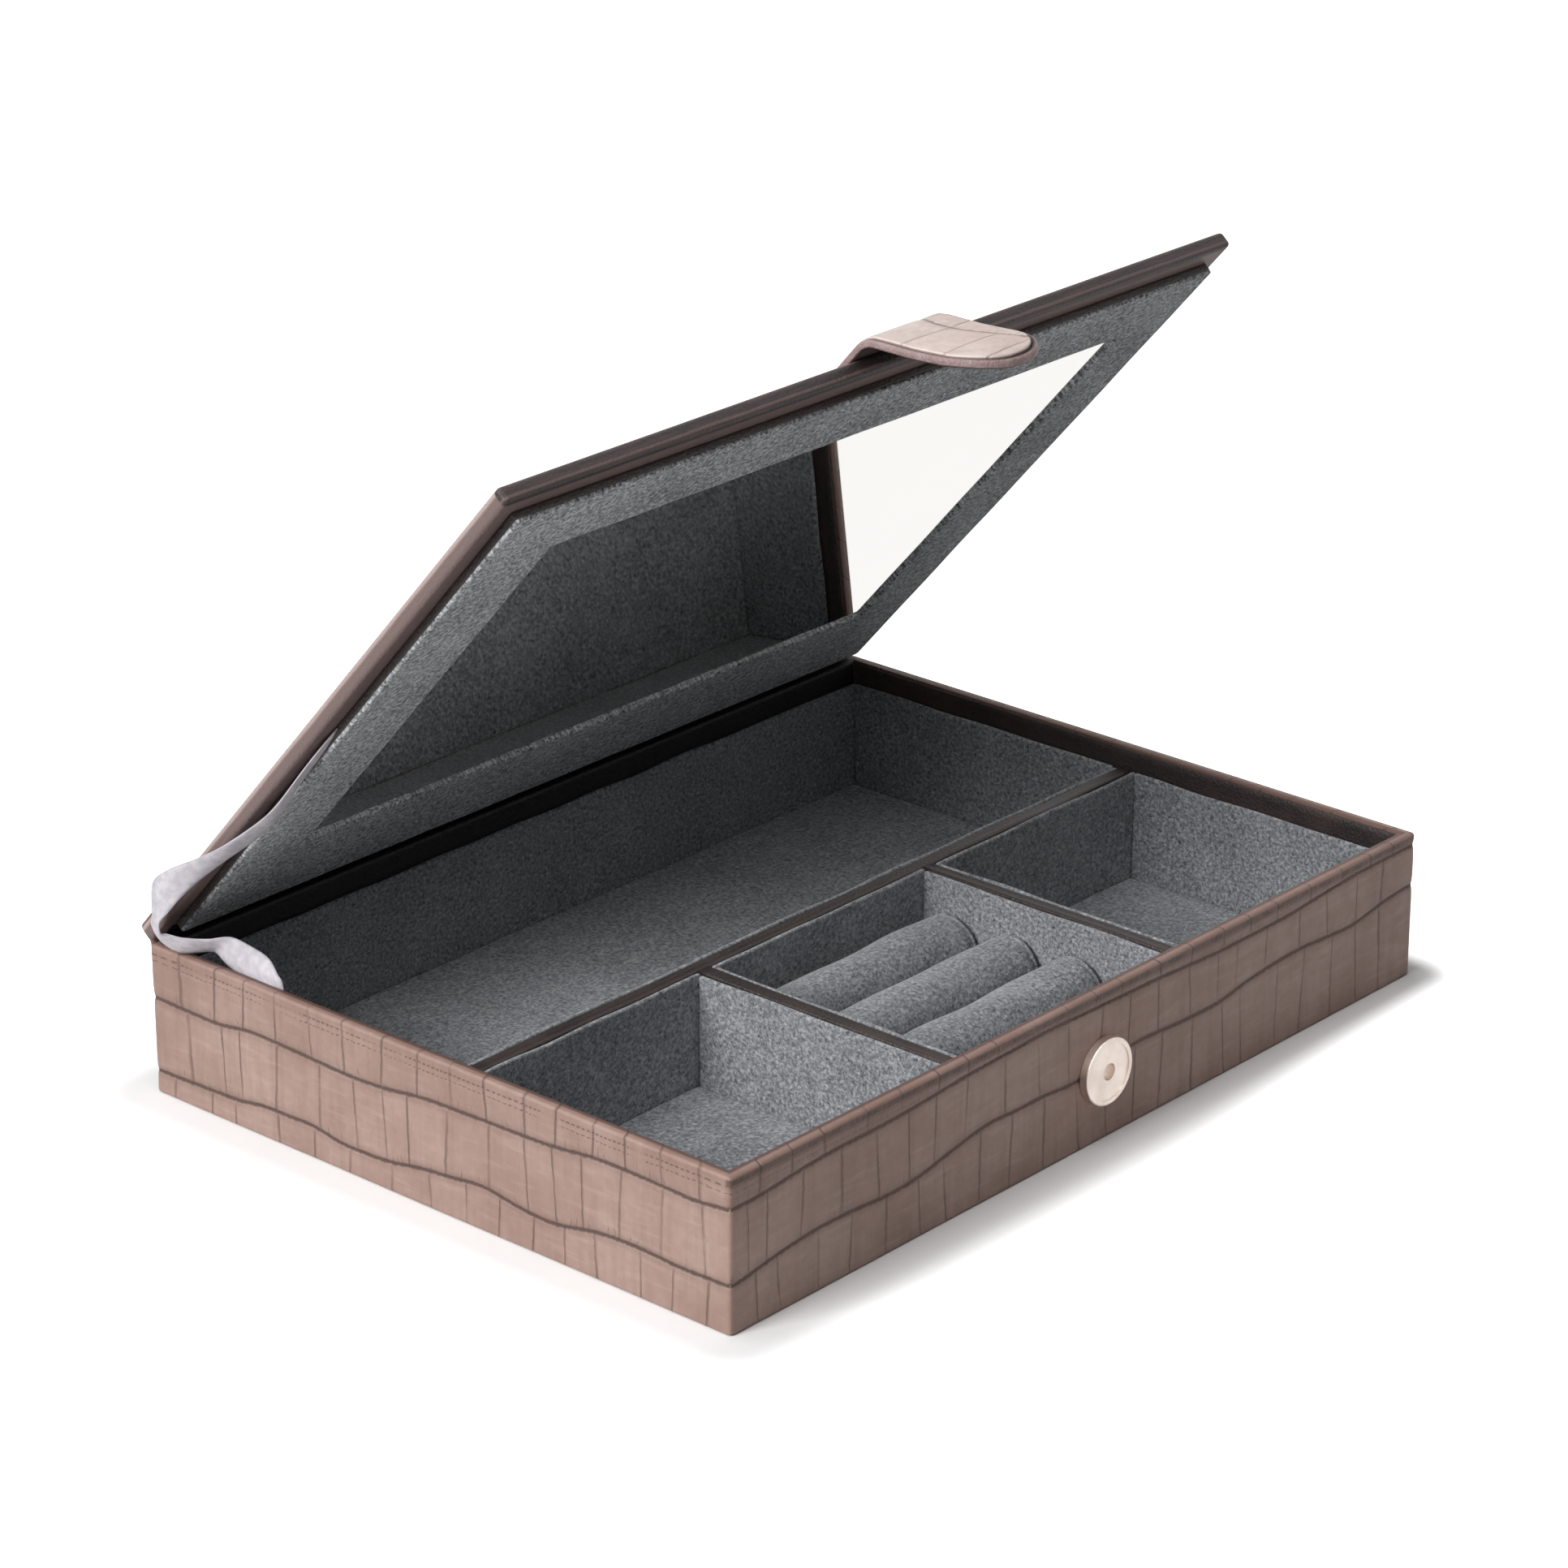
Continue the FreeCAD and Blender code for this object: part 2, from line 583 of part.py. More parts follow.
panel_board = slab("panel_board", core_x, core_y, ("(-sizes.panel_card)", "0"), LID)
window(panel_board, hole_x, hole_y, ("(-sizes.panel_card)", "0"))
panel_wrap = slab("panel_wrap", panel_x, panel_y, (wrap_low, "0"), LID)
window(panel_wrap, core_x, core_y, ("(-sizes.panel_card)", "0"))
window(panel_wrap, turn_x, turn_y, (wrap_low, "(-sizes.panel_card)"))
felt_frame = slab("felt_frame", panel_x, panel_y, (felt_low, wrap_low), LID)
felt_face_z = -size("panel_card") - size("panel_skin") - size("felt_face")
round_edges(felt_frame, "sizes.felt_round", lambda edge: lies_at(edge, 2, felt_face_z))
window_x = uneven(half_width, f"({left_border})", f"({right_border})")
window_y = lid_y(f"({front_border})", f"({rear_border})")
window(felt_frame, window_x, window_y, (felt_low, wrap_low))
slab("mirror", glass_x, glass_y, (wrap_low, f"({wrap_low} + sizes.mirror_glass)"), LID)


# ---------------------------------------------------------------- strap
root_x = (f"(sizes.closure_x - {strap_half})", f"(sizes.closure_x + {strap_half})")
root_z = (lid_thickness, f"({lid_thickness} + {strap_thickness})")
slab("strap_root", root_x, lid_y("0", "(sizes.box_depth - sizes.strap_root)"), root_z, LID)

BEND_STEPS = 8
bend = "(sizes.strap_bend * 1 deg)"
bend_line = f"(sizes.strap_curve * tan({bend} / 2))"
centre_y = f"(-{line_reach} + {bend_line})"
centre_z = f"({line_rise} - sizes.strap_curve)"


def bend_side(offset):
    """One side of the bent strap from the lid's edge out, offset from the strap's middle."""
    radius = f"(sizes.strap_curve + {offset})"
    points = [("-sizes.box_depth", f"{line_rise} + {offset}")]
    for step in range(BEND_STEPS + 1):
        turn = f"({bend} * {step} / {BEND_STEPS})"
        points.append((f"{centre_y} - {radius} * sin({turn})", f"{centre_z} + {radius} * cos({turn})"))
    reach = "(sizes.strap_clear - sizes.strap_bend_gap)"
    points.append(
        (
            f"-{line_reach} - {reach} * cos({bend}) - {offset} * sin({bend})",
            f"{line_rise} - {reach} * sin({bend}) + {offset} * cos({bend})",
        )
    )
    return points


bent = bend_side(f"({strap_thickness} / 2)") + bend_side(f"(-{strap_thickness} / 2)")[::-1]
strip("strap_bend", bent, "sizes.closure_x", "sizes.strap_width", LID)

mate = f"({hinge_z} + {line_rise} - {snap_height})"
strap_free = f"({mate} + sizes.strap_tip)"
core_half = "(sizes.strap_core / 2)"
layer_top = f"({strap_thickness} / 2)"


def strap_layer(label, z, inset):
    """One layer of the free strap, with its two tip corners rounded."""
    y = (f"(-{strap_free} + {inset})", f"(-sizes.strap_clear - {inset})")
    body = slab(label, symmetric(strap_half, inset), y, z, STRAP)
    doc.recompute()
    tip = body.Tip.Shape.BoundBox.YMin
    round_edges(
        body,
        f"sizes.strap_tip_share * (sizes.strap_width - 2 * {inset})",
        lambda edge: runs_along(edge, 2) and abs(edge.BoundBox.YMax - tip) < 1e-4,
    )
    return body


strap_layer("strap_face", (core_half, layer_top), "0")
strap_core = strap_layer("strap_core", (f"-{core_half}", core_half), "sizes.strap_core_inset")
strap_lining = strap_layer("strap_lining", (f"-{layer_top}", f"-{core_half}"), "0")

male_low = f"(-{layer_top} - (sizes.strap_overhang - {layer_top} - sizes.snap_thickness - sizes.snap_gap))"
mate_radius = "(sizes.mate_diameter / 2)"
stud_radius = "(sizes.stud_diameter / 2)"
stem_radius = "(sizes.stem_diameter / 2)"
head_radius = "(sizes.head_diameter / 2)"
mate_outline = [
    ("0", core_half),
    (head_radius, core_half),
    (head_radius, f"-{core_half}"),
    (stem_radius, f"-{core_half}"),
    (stem_radius, f"-{layer_top}"),
    (mate_radius, f"-{layer_top}"),
    (mate_radius, male_low),
    (stud_radius, male_low),
    (stud_radius, f"{male_low} - sizes.stud_length"),
    ("0", f"{male_low} - sizes.stud_length"),
]
strap_snap = turned("strap_snap", STRAP, [mate_outline], "XZ_Plane", ("0", "0", mate))
doc.recompute()
snap_low = strap_snap.Shape.BoundBox.ZMin + size("stud_length")
round_edges(
    strap_snap,
    "sizes.snap_round",
    lambda edge: edge.BoundBox.XLength > size("mate_diameter") - 0.1
    and edge.BoundBox.ZLength < 1e-4
    and edge.BoundBox.ZMax < -size("strap_core") / 2 - size("strap_layer") - 0.1,
)


def round_hole(body, radius, top, depth):
    """A hole for the snap's rivet through one layer of the strap."""
    sketch = new_sketch(body, "XY_Plane", ("0", f"-{mate}", top))
    draw_circle(sketch, f"2 * ({radius} + sizes.metal_gap)")
    pocket(body, sketch, depth)


round_hole(strap_core, head_radius, core_half, "sizes.strap_core")
round_hole(strap_lining, stem_radius, f"-{core_half}", "sizes.strap_layer")


# ---------------------------------------------------------------- satin ribbon that stays the lid
# Each station gives the ribbon's two edges as (outwards, forwards of the hinge, up). Outwards is from
# the box's left side, or from the middle of the slot between lining and liner. Up is from the rim, or
# from the underside of the lid.
STATIONS = [
    ("lid", (-4.3, 80.0, -0.7), (-4.7, 80.0, -2.4)),
    ("lid", (-3.5, 64.1, -2.1), (-4.5, 62.7, -3.3)),
    ("lid", (-1.5, 57.6, -1.5), (-4.1, 52.5, -3.1)),
    ("lid", (1.8, 46.2, 0.3), (-0.6, 40.2, -1.5)),
    ("lid", (3.0, 36.9, 2.8), (0.8, 30.9, -0.2)),
    ("lid", (4.0, 26.6, 6.6), (1.3, 21.7, 0.7)),
    ("lid", (3.5, 18.6, 7.3), (1.4, 14.9, 0.6)),
    ("lid", (2.8, 10.5, 2.9), (1.3, 9.6, 0.8)),
    ("lid", (1.3, 6.3, 1.5), (0.9, 6.6, -1.2)),
    ("rim", (-0.5, 4.4, 1.5), (-1.5, 5.0, 3.5)),
    ("rim", (-1.1, 10.2, 0.5), (-3.0, 9.0, 3.2)),
    ("rim", (-3.1, 18.0, 2.8), (-4.2, 16.8, 4.9)),
    ("rim", (-3.6, 20.8, 2.4), (-5.3, 24.0, 6.9)),
    ("slot", (0.0, 23.2, 0.3), (-1.2, 31.6, 7.1)),
    ("slot", (0.0, 25.1, -1.4), (-0.5, 38.0, 5.9)),
    ("slot", (0.0, 26.0, -4.0), (-0.1, 41.6, 3.1)),
    ("slot", (0.0, 27.5, -9.0), (0.0, 43.4, -0.4)),
    ("slot", (0.0, 28.7, -18.0), (0.0, 43.7, -18.0)),
]


def ribbon_point(frame, place):
    out, forwards, up = place
    side = size("box_width") / 2
    if frame == "slot":
        side -= size("skin") + size("wall_board") + size("lining") + size("card_gap") / 2
    if frame == "lid":
        turn = math.radians(size("open_angle"))
        rise = size("hinge_gap") + forwards * math.sin(turn) + up * math.cos(turn)
        forwards = forwards * math.cos(turn) - up * math.sin(turn)
        up = rise
    return Vector(-side - out, size("box_depth") / 2 - forwards, size("box_height") + up)


left_edge = [ribbon_point(frame, first) for frame, first, second in STATIONS]
right_edge = [ribbon_point(frame, second) for frame, first, second in STATIONS]
rings = []
for index in range(len(STATIONS)):
    before = max(index - 1, 0)
    after = min(index + 1, len(STATIONS) - 1)
    along = left_edge[after] + right_edge[after] - left_edge[before] - right_edge[before]
    normal = along.cross(right_edge[index] - left_edge[index])
    normal.normalize()
    normal.multiply(size("ribbon_thickness") / 2)
    left, right = left_edge[index], right_edge[index]
    rings.append([left + normal, right + normal, right - normal, left - normal])

# Both faces of the ribbon are split along the same diagonals, so it keeps its thickness where it twists.
triangles = []
for near, far in zip(rings, rings[1:]):
    for corner, following in ((0, 1), (1, 2), (3, 0)):
        triangles.append((near[corner], near[following], far[following]))
        triangles.append((near[corner], far[following], far[corner]))
    triangles.append((near[2], near[3], far[2]))
    triangles.append((near[3], far[3], far[2]))
for ring in (rings[0][::-1], rings[-1]):
    triangles.append((ring[0], ring[1], ring[2]))
    triangles.append((ring[0], ring[2], ring[3]))
faces = [Part.Face(Part.makePolygon([*corners, corners[0]])) for corners in triangles]
shell = Part.makeShell(faces)
shell.sewShape()
ribbon = doc.addObject("Part::Feature", "ribbon_stay")
ribbon.Label = "ribbon_stay"
ribbon.Shape = Part.Solid(shell)
pieces.append(ribbon)


# ---------------------------------------------------------------- check and write
doc.recompute()
for item in doc.Objects:
    if "Invalid" in item.State or "Error" in item.State:
        raise RuntimeError(f"{item.Label}: {item.State}")
for piece in pieces:
    if piece.Shape.isNull() or not piece.Shape.isValid() or len(piece.Shape.Solids) != 1:
        raise RuntimeError(f"{piece.Label}: not one valid solid")
    if piece.Shape.Volume <= 0:
        raise RuntimeError(f"{piece.Label}: no volume")

os.makedirs("parts", exist_ok=True)
for piece in pieces:
    piece.Shape.exportStep(os.path.join("parts", f"{piece.Label}.step"))
print(len(pieces), "pieces written")
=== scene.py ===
import json
import math

import bmesh
import bpy
import numpy as np
from mathutils import Matrix, Vector


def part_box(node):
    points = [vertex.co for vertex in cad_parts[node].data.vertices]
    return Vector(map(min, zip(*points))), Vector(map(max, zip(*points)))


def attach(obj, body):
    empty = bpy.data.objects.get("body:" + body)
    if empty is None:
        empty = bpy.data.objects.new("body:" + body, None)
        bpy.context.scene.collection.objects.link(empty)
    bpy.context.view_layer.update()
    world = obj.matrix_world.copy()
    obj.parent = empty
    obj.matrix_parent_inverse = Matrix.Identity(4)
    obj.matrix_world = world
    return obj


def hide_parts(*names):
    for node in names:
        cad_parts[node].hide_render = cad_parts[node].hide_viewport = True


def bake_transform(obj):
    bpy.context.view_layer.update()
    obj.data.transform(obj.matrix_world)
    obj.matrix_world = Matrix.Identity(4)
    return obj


# A leatherette cufflink and jewellery box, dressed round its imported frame. Shapes are worked out in
# millimetres and turned into metres as they become meshes.

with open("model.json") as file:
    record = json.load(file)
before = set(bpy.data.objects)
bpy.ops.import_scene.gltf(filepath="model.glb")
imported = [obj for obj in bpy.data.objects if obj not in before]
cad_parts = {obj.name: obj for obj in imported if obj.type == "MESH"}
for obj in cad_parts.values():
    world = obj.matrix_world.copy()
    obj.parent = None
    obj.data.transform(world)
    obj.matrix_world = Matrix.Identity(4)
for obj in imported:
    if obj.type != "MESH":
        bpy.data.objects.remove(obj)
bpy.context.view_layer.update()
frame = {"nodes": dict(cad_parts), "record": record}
mm = 0.001
print("frame loaded:", len(frame["nodes"]), "nodes")

box = {"width": 263.0, "depth": 192.0, "height": 40.0, "cornerRound": 1.2}
lid = {"angle": 48.6, "hingeY": 96.0, "hingeZ": 40.3, "thickness": 4.4, "cornerRound": 1.2}
halfWidth, halfDepth = box["width"] / 2, box["depth"] / 2
lidTurn = math.radians(lid["angle"])


def linear(red, green, blue):
    # A screen colour of 0 to 255 as the light it stands for: ((c + 0.055) / 1.055) to the power 2.4.
    shares = np.array([red, green, blue]) / 255
    light = np.where(shares <= 0.04045, shares / 12.92, ((shares + 0.055) / 1.055) ** 2.4)
    return (*light.tolist(), 1.0)


def fromLid(points):
    # Turns the shut lid's own x, y, z about the hinge line by the open angle.
    x, y, z = points[..., 0], points[..., 1], points[..., 2]
    worldY = lid["hingeY"] + y * math.cos(lidTurn) + z * math.sin(lidTurn)
    worldZ = lid["hingeZ"] - y * math.sin(lidTurn) + z * math.cos(lidTurn)
    return np.stack([x, worldY, worldZ], -1)


def smoothNoise(x, y, seed, size):
    # A sum of five slow sine waves in fixed random directions, about -1 to 1, with waves near "size" long.
    draw = np.random.default_rng(seed)
    total = 0.0
    for _ in range(5):
        heading, phase = draw.uniform(0, 2 * math.pi, 2)
        pace = 2 * math.pi / (size * draw.uniform(0.7, 1.5))
        total = total + np.sin((x * math.cos(heading) + y * math.sin(heading)) * pace + phase)
    return total / 3


# ---- shader expressions
def mathNode(operation, swapped=False):
    # A method that puts a field and the values handed to it through one Math node.
    def method(field, *others):
        values = (*others, field) if swapped else (field, *others)
        return field.paint.node("ShaderNodeMath", {"operation": operation}, values)

    return method


class Field:
    # One output of a node, for sums, products and comparisons.
    def __init__(self, paint, socket):
        self.paint, self.socket = paint, socket

    __add__, __radd__ = mathNode("ADD"), mathNode("ADD", swapped=True)
    __sub__, __rsub__ = mathNode("SUBTRACT"), mathNode("SUBTRACT", swapped=True)
    __mul__, __rmul__ = mathNode("MULTIPLY"), mathNode("MULTIPLY", swapped=True)
    __truediv__, __pow__, __abs__ = mathNode("DIVIDE"), mathNode("POWER"), mathNode("ABSOLUTE")
    fraction, least, most = mathNode("FRACT"), mathNode("MINIMUM"), mathNode("MAXIMUM")

    def between(self, low, high):
        # 0 at low, 1 at high, eased at both ends.
        settings = {"interpolation_type": "SMOOTHSTEP"}
        return self.paint.node("ShaderNodeMapRange", settings, (self, low, high, 0.0, 1.0))


class Paint:
    # A new material, or world, and the nodes in it.
    def __init__(self, name, world=False):
        self.owner = (bpy.data.worlds if world else bpy.data.materials).new(name)
        self.owner.use_nodes = True
        self.tree = self.owner.node_tree
        self.tree.nodes.clear()

    def node(self, kind, settings=None, values=(), output=0):
        made = self.tree.nodes.new(kind)
        for key, value in (settings or {}).items():
            setattr(made, key, value)
        pairs = values.items() if isinstance(values, dict) else enumerate(values)
        for key, value in pairs:
            if isinstance(value, Field):
                self.tree.links.new(value.socket, made.inputs[key])
            elif value is not None:
                made.inputs[key].default_value = value
        return Field(self, made.outputs[output]) if made.outputs else None

    def place(self):
        return self.node("ShaderNodeTexCoord", output="Object")

    def parts(self, vector):
        apart = self.node("ShaderNodeSeparateXYZ", {}, (vector,))
        return [Field(self, output) for output in apart.socket.node.outputs]

    def surfaceMap(self, name):
        return self.parts(self.node("ShaderNodeUVMap", {"uv_map": name}))[:2]

    def stretched(self, vector, scale):
        return self.node("ShaderNodeMapping", {}, {"Vector": vector, "Scale": scale})

    def noise(self, vector, scale, detail=2.0, roughness=0.5, distortion=0.0):
        values = {"Vector": vector, "Scale": scale, "Detail": detail}
        values.update({"Roughness": roughness, "Distortion": distortion})
        return self.node("ShaderNodeTexNoise", {}, values)

    def cells(self, vector, scale):
        # Distance to the nearest of the points scattered in a grid of cells.
        return self.node("ShaderNodeTexVoronoi", {}, {"Vector": vector, "Scale": scale})

    def seen(self):
        # 1 for what the camera sees, itself, in a mirror or through glass, and 0 for other rays.
        kinds = ("Is Camera Ray", "Is Glossy Ray", "Is Transmission Ray")
        direct, mirrored, through = (self.node("ShaderNodeLightPath", output=kind) for kind in kinds)
        return direct.most(mirrored).most(through)

    def mix(self, share, first, second):
        # The first colour where the share is 0 and the second where it is 1.
        return self.node("ShaderNodeMix", {"data_type": "RGBA"}, {0: share, 6: first, 7: second}, output=2)

    def ramp(self, value, *stops):
        # Colours at places from 0 to 1, in straight runs between them.
        made = self.node("ShaderNodeValToRGB", {}, (value,))
        elements = made.socket.node.color_ramp.elements
        while len(elements) < len(stops):
            elements.new(0.5)
        for element, (place, colour) in zip(elements, stops):
            element.position, element.color = place, colour
        return made

    def finish(self, colour, roughness, height=None, relief=0.0, **fixed):
        values = {"Base Color": colour, "Roughness": roughness}
        values.update({key.replace("_", " "): value for key, value in fixed.items()})
        if height is not None:
            bump = {"Height": height, "Strength": 1.0, "Distance": relief * mm}
            values["Normal"] = self.node("ShaderNodeBump", {}, bump)
        body = self.node("ShaderNodeBsdfPrincipled", {}, values)
        self.node("ShaderNodeOutputMaterial", {}, {"Surface": body})
        return self.owner


# ---- materials
croc = {
    "pale": linear(166, 140, 130),
    "warm": linear(150, 122, 111),
    "groove": linear(80, 60, 54),
    "edge": linear(92, 64, 55),
    "creaseWidth": 0.042,  # share of a scale's length
    "grooveWidth": 0.85,
    "ticks": ((0.2, 0.5), (1.2, 4.4)),  # fades in and out above a groove
    "relief": 0.5,
}


# The box's rim: its two lines of stitches, the painted shade line under its front, and the (start, end) of
# each fade in height and distance.
rim = {
    "thread": linear(160, 110, 88),
    "foldShadeColour": linear(50, 32, 28),
    "stitches": (37.6, 35.9),
    "front": (-halfDepth + 1.9, -halfDepth + 0.9),
    "inward": (1.5, 2.3),
    "band": ((36.6, 37.6), (39.2, 39.6)),
    # painted shade under the front rim's fold
    "seam": ((37.6, 38.1), (39.0, 39.4)),
    "top": (39.2, 39.7),
}


def mixed(first, second, share):
    return tuple(a + (b - a) * share for a, b in zip(first, second))


def plateau(value, rise, fall):
    # 0, then 1 from the end of the rise to the start of the fall, then 0 again.
    return value.between(*rise) * (1 - value.between(*fall))


def crocLeather(name, pale=croc["pale"], warm=croc["warm"], depth=1.0, rimmed=False):
    # Embossed scales. The map "scales" counts them along a row, and "lines" holds the distances, in
    # millimetres, to the two nearest long grooves. If rimmed, two rows of stitches run below the box's
    # top edge, which is dark at the front and along its inner side, and a ragged painted shade line runs
    # just under the rim at the front.
    paint = Paint(name)
    count, _ = paint.surfaceMap("scales")
    lower, upper = paint.surfaceMap("lines")
    place = paint.place()
    sway = paint.noise(place, 330, 2) - 0.5
    ripple = paint.noise(place, 900, 2) - 0.5
    step = (count + sway * 0.05).fraction()
    apart = 0.5 - abs(step - 0.5)
    faint = paint.noise(place, 60, 2).between(0.25, 0.62)
    crease = (1 - apart.between(0.004, croc["creaseWidth"])) * (0.35 + 0.65 * faint)
    near = abs(lower + ripple * 0.7).least(abs(upper + ripple * 0.7))
    groove = 1 - near.between(0.18, croc["grooveWidth"])
    shoulder = 1 - near.between(0.5, 2.6)
    over = plateau(lower, *croc["ticks"]).most(plateau(upper, *croc["ticks"]))
    tick = abs((count * 5.3 + sway * 1.1).fraction() - 0.5)
    tick = tick.between(0.44, 0.49) * over * paint.noise(place, 260, 1).between(0.45, 0.62)
    grain = paint.noise(place, 2600, 3, 0.6)
    pores = paint.cells(place, 1500)
    cloud = paint.noise(place, 38, 3, 0.6)
    mottle = paint.noise(place, 420, 3, 0.6)
    streaks = paint.noise(paint.stretched(place, (1.0, 1.0, 0.07)), 420, 3, 0.6)
    smears = paint.noise(paint.stretched(place, (0.12, 0.12, 1.0)), 500, 3, 0.6)
    colour = paint.mix(cloud.between(0.3, 0.7), pale, warm)
    colour = paint.mix(mottle.between(0.35, 0.75) * 0.22, colour, mixed(warm, croc["groove"], 0.35))
    colour = paint.mix(streaks.between(0.4, 0.7) * 0.2, colour, mixed(warm, croc["groove"], 0.55))
    colour = paint.mix(smears.between(0.5, 0.72) * 0.14, colour, mixed(pale, (0.8, 0.66, 0.58, 1), 0.5))
    dark = (groove * 0.92).most(crease * 0.6).most(shoulder * 0.26).most(tick * 0.5)
    height = 0.05 * grain + 0.05 * pores + 0.12 * mottle - 0.25 * tick
    if rimmed:
        x, y, level = (part / mm for part in paint.parts(place))
        stitch = abs((count * 7.3 + sway * 0.8).fraction() - 0.5).between(0.16, 0.26)
        firstLine = 1 - abs(level - rim["stitches"][0] + ripple * 0.5).between(0.1, 0.34)
        secondLine = 1 - abs(level - rim["stitches"][1] + ripple * 0.9).between(0.08, 0.26)
        dashes = firstLine.most(secondLine * 0.8) * stitch * paint.noise(place, 90, 2).between(0.3, 0.5)
        inward = (halfWidth - abs(x)).least(halfDepth - abs(y))
        front = y.between(*rim["front"])
        band = plateau(level, *rim["band"]) * (0.1 + 0.35 * front)
        # painted shade: a ragged dark line just under the front rim, where its fold is shaded
        seam = plateau(level, *rim["seam"]) * front
        top = level.between(*rim["top"]) * inward.between(*rim["inward"])
        colour = paint.mix(upper.between(0.0, 2.5) * (0.1 + 0.2 * front), colour, croc["edge"])
        colour = paint.mix(band.most(top * 0.9), colour, croc["edge"])
        colour = paint.mix(band * stitch * firstLine * 0.8, colour, rim["thread"])
        ragged = paint.noise(place, 240, 2).between(0.4, 0.6)
        colour = paint.mix(seam * (0.5 + 0.35 * ragged - 0.12 * stitch), colour, rim["foldShadeColour"])
        dark = dark.most(dashes * 0.7 * (1 - 0.6 * front))
        height = height - 0.2 * dashes
    colour = paint.mix(dark * depth, colour, croc["groove"])
    height = height - 0.55 * depth * crease - 0.5 * depth * groove
    roughness = 0.44 + 0.16 * mottle + 0.12 * groove
    return paint.finish(colour, roughness, height, croc["relief"], Specular_IOR_Level=0.45)


def smoothLeather(name, base, worn, relief=0.22, gloss=0.5):
    paint = Paint(name)
    place = paint.place()
    grain = paint.cells(place, 1250)
    fine = paint.noise(place, 3000, 3, 0.6)
    cloud = paint.noise(place, 55, 3, 0.6)
    colour = paint.mix(cloud.between(0.35, 0.72), base, worn)
    colour = paint.mix((1 - grain.between(0.1, 0.6)) * 0.35, colour, worn)
    height = 0.6 * grain + 0.3 * fine
    roughness = 0.42 + 0.2 * cloud
    return paint.finish(colour, roughness, height, relief, Specular_IOR_Level=gloss)


def edgeLeatherPaintedLight(name):
    # The lid's turned edge, with its light painted in: brown at the sides, paling towards the top
    # rounding as a painted highlight; at the front a painted shade, dark with fine reddish streaks,
    # below a painted pale highlight line and above a paler band painted for the floor's light on the
    # lower rounding. Rise is the height over the lid's underside, and reach the distance from the
    # hinge line along it.
    paint = Paint(name)
    place = paint.place()
    _, y, z = paint.parts(place)
    back, up = y / mm - lid["hingeY"], z / mm - lid["hingeZ"]
    rise = back * math.sin(lidTurn) + up * math.cos(lidTurn)
    reach = up * math.sin(lidTurn) - back * math.cos(lidTurn)
    front = reach.between(box["depth"] - 2.4, box["depth"] - 1.6)
    grain = paint.cells(place, 1250)
    fine = paint.noise(place, 3000, 3, 0.6)
    streaks = paint.noise(paint.stretched(place, (0.06, 1.0, 1.0)), 900, 3, 0.6)
    shade = rise + (paint.noise(place, 70, 2) - 0.5) * 0.5
    # painted highlight: a pale line along the top rounding
    line = shade.between(3.7, 4.0)
    # painted light: a paler band on the lower rounding, for the light from the floor
    low = (1 - shade.between(1.3, 1.6)) * shade.between(0.6, 0.9)
    # painted highlight: the sides grow paler towards the top rounding
    side = paint.mix(shade.between(2.6, 3.4), linear(106, 89, 86), linear(160, 142, 138))
    # painted shade: the front face is dark, with fine reddish streaks of its own
    dark = paint.mix(streaks.between(0.4, 0.62), linear(30, 23, 23), linear(58, 42, 40))
    dark = paint.mix((line * 0.9).most(low * 0.7), dark, linear(104, 86, 83))
    colour = paint.mix(front, side, dark)
    colour = paint.mix((1 - grain.between(0.1, 0.6)) * 0.06, colour, linear(130, 106, 100))
    roughness, height = 0.46 + 0.14 * streaks, 0.6 * grain + 0.3 * fine
    return paint.finish(colour, roughness, height, 0.2, Specular_IOR_Level=0.45)


def feltCloth(name, dark, pale, relief=0.5, spread=0.14):
    # Pressed wool: short fibres lying in all directions, dark and pale, clumped about 1 mm apart.
    paint = Paint(name)
    place = paint.place()
    first = paint.noise(paint.stretched(place, (1.0, 0.5, 0.8)), 1900, 3, 0.65, 0.5)
    second = paint.noise(paint.stretched(place, (0.5, 1.0, 0.9)), 1700, 3, 0.65, 0.5)
    clump = paint.noise(place, 1050, 2, 0.55, 0.3)
    fibres = (first + second) * 0.3 + clump * 0.4
    patch = paint.noise(place, 45, 3, 0.6)
    shade = fibres + (patch - 0.5) * 0.1
    stops = (0.5 - spread, dark), (0.5, mixed(dark, pale, 0.42)), (0.5 + spread, pale)
    colour = paint.ramp(shade, *stops)
    height = fibres + 0.35 * paint.noise(place, 3600, 2)
    roughness = 0.86 + 0.1 * clump
    sheen = {"Sheen_Weight": 0.3, "Sheen_Roughness": 0.6, "Specular_IOR_Level": 0.2}
    return paint.finish(colour, roughness, height, relief, **sheen)


def satinCloth(name):
    paint = Paint(name)
    along, across = paint.surfaceMap("weave")
    place = paint.place()
    slub = paint.noise(place, 500, 2)
    threads = abs((across * 95 + slub * 0.3).fraction() - 0.5)
    picks = abs((along * 3.2 + slub * 0.2).fraction() - 0.5)
    edge = abs(across - 0.5).between(0.455, 0.485)
    colour = paint.mix(slub.between(0.3, 0.7), linear(214, 208, 214), linear(192, 187, 196))
    colour = paint.mix(edge * 0.35, colour, linear(150, 146, 158))
    height = 0.5 * threads + 0.35 * picks + edge * 0.8
    sheen = {"Sheen_Weight": 0.25, "Sheen_Roughness": 0.35, "Anisotropic": 0.5}
    return paint.finish(colour, 0.38 + 0.12 * slub, height, 0.12, **sheen)


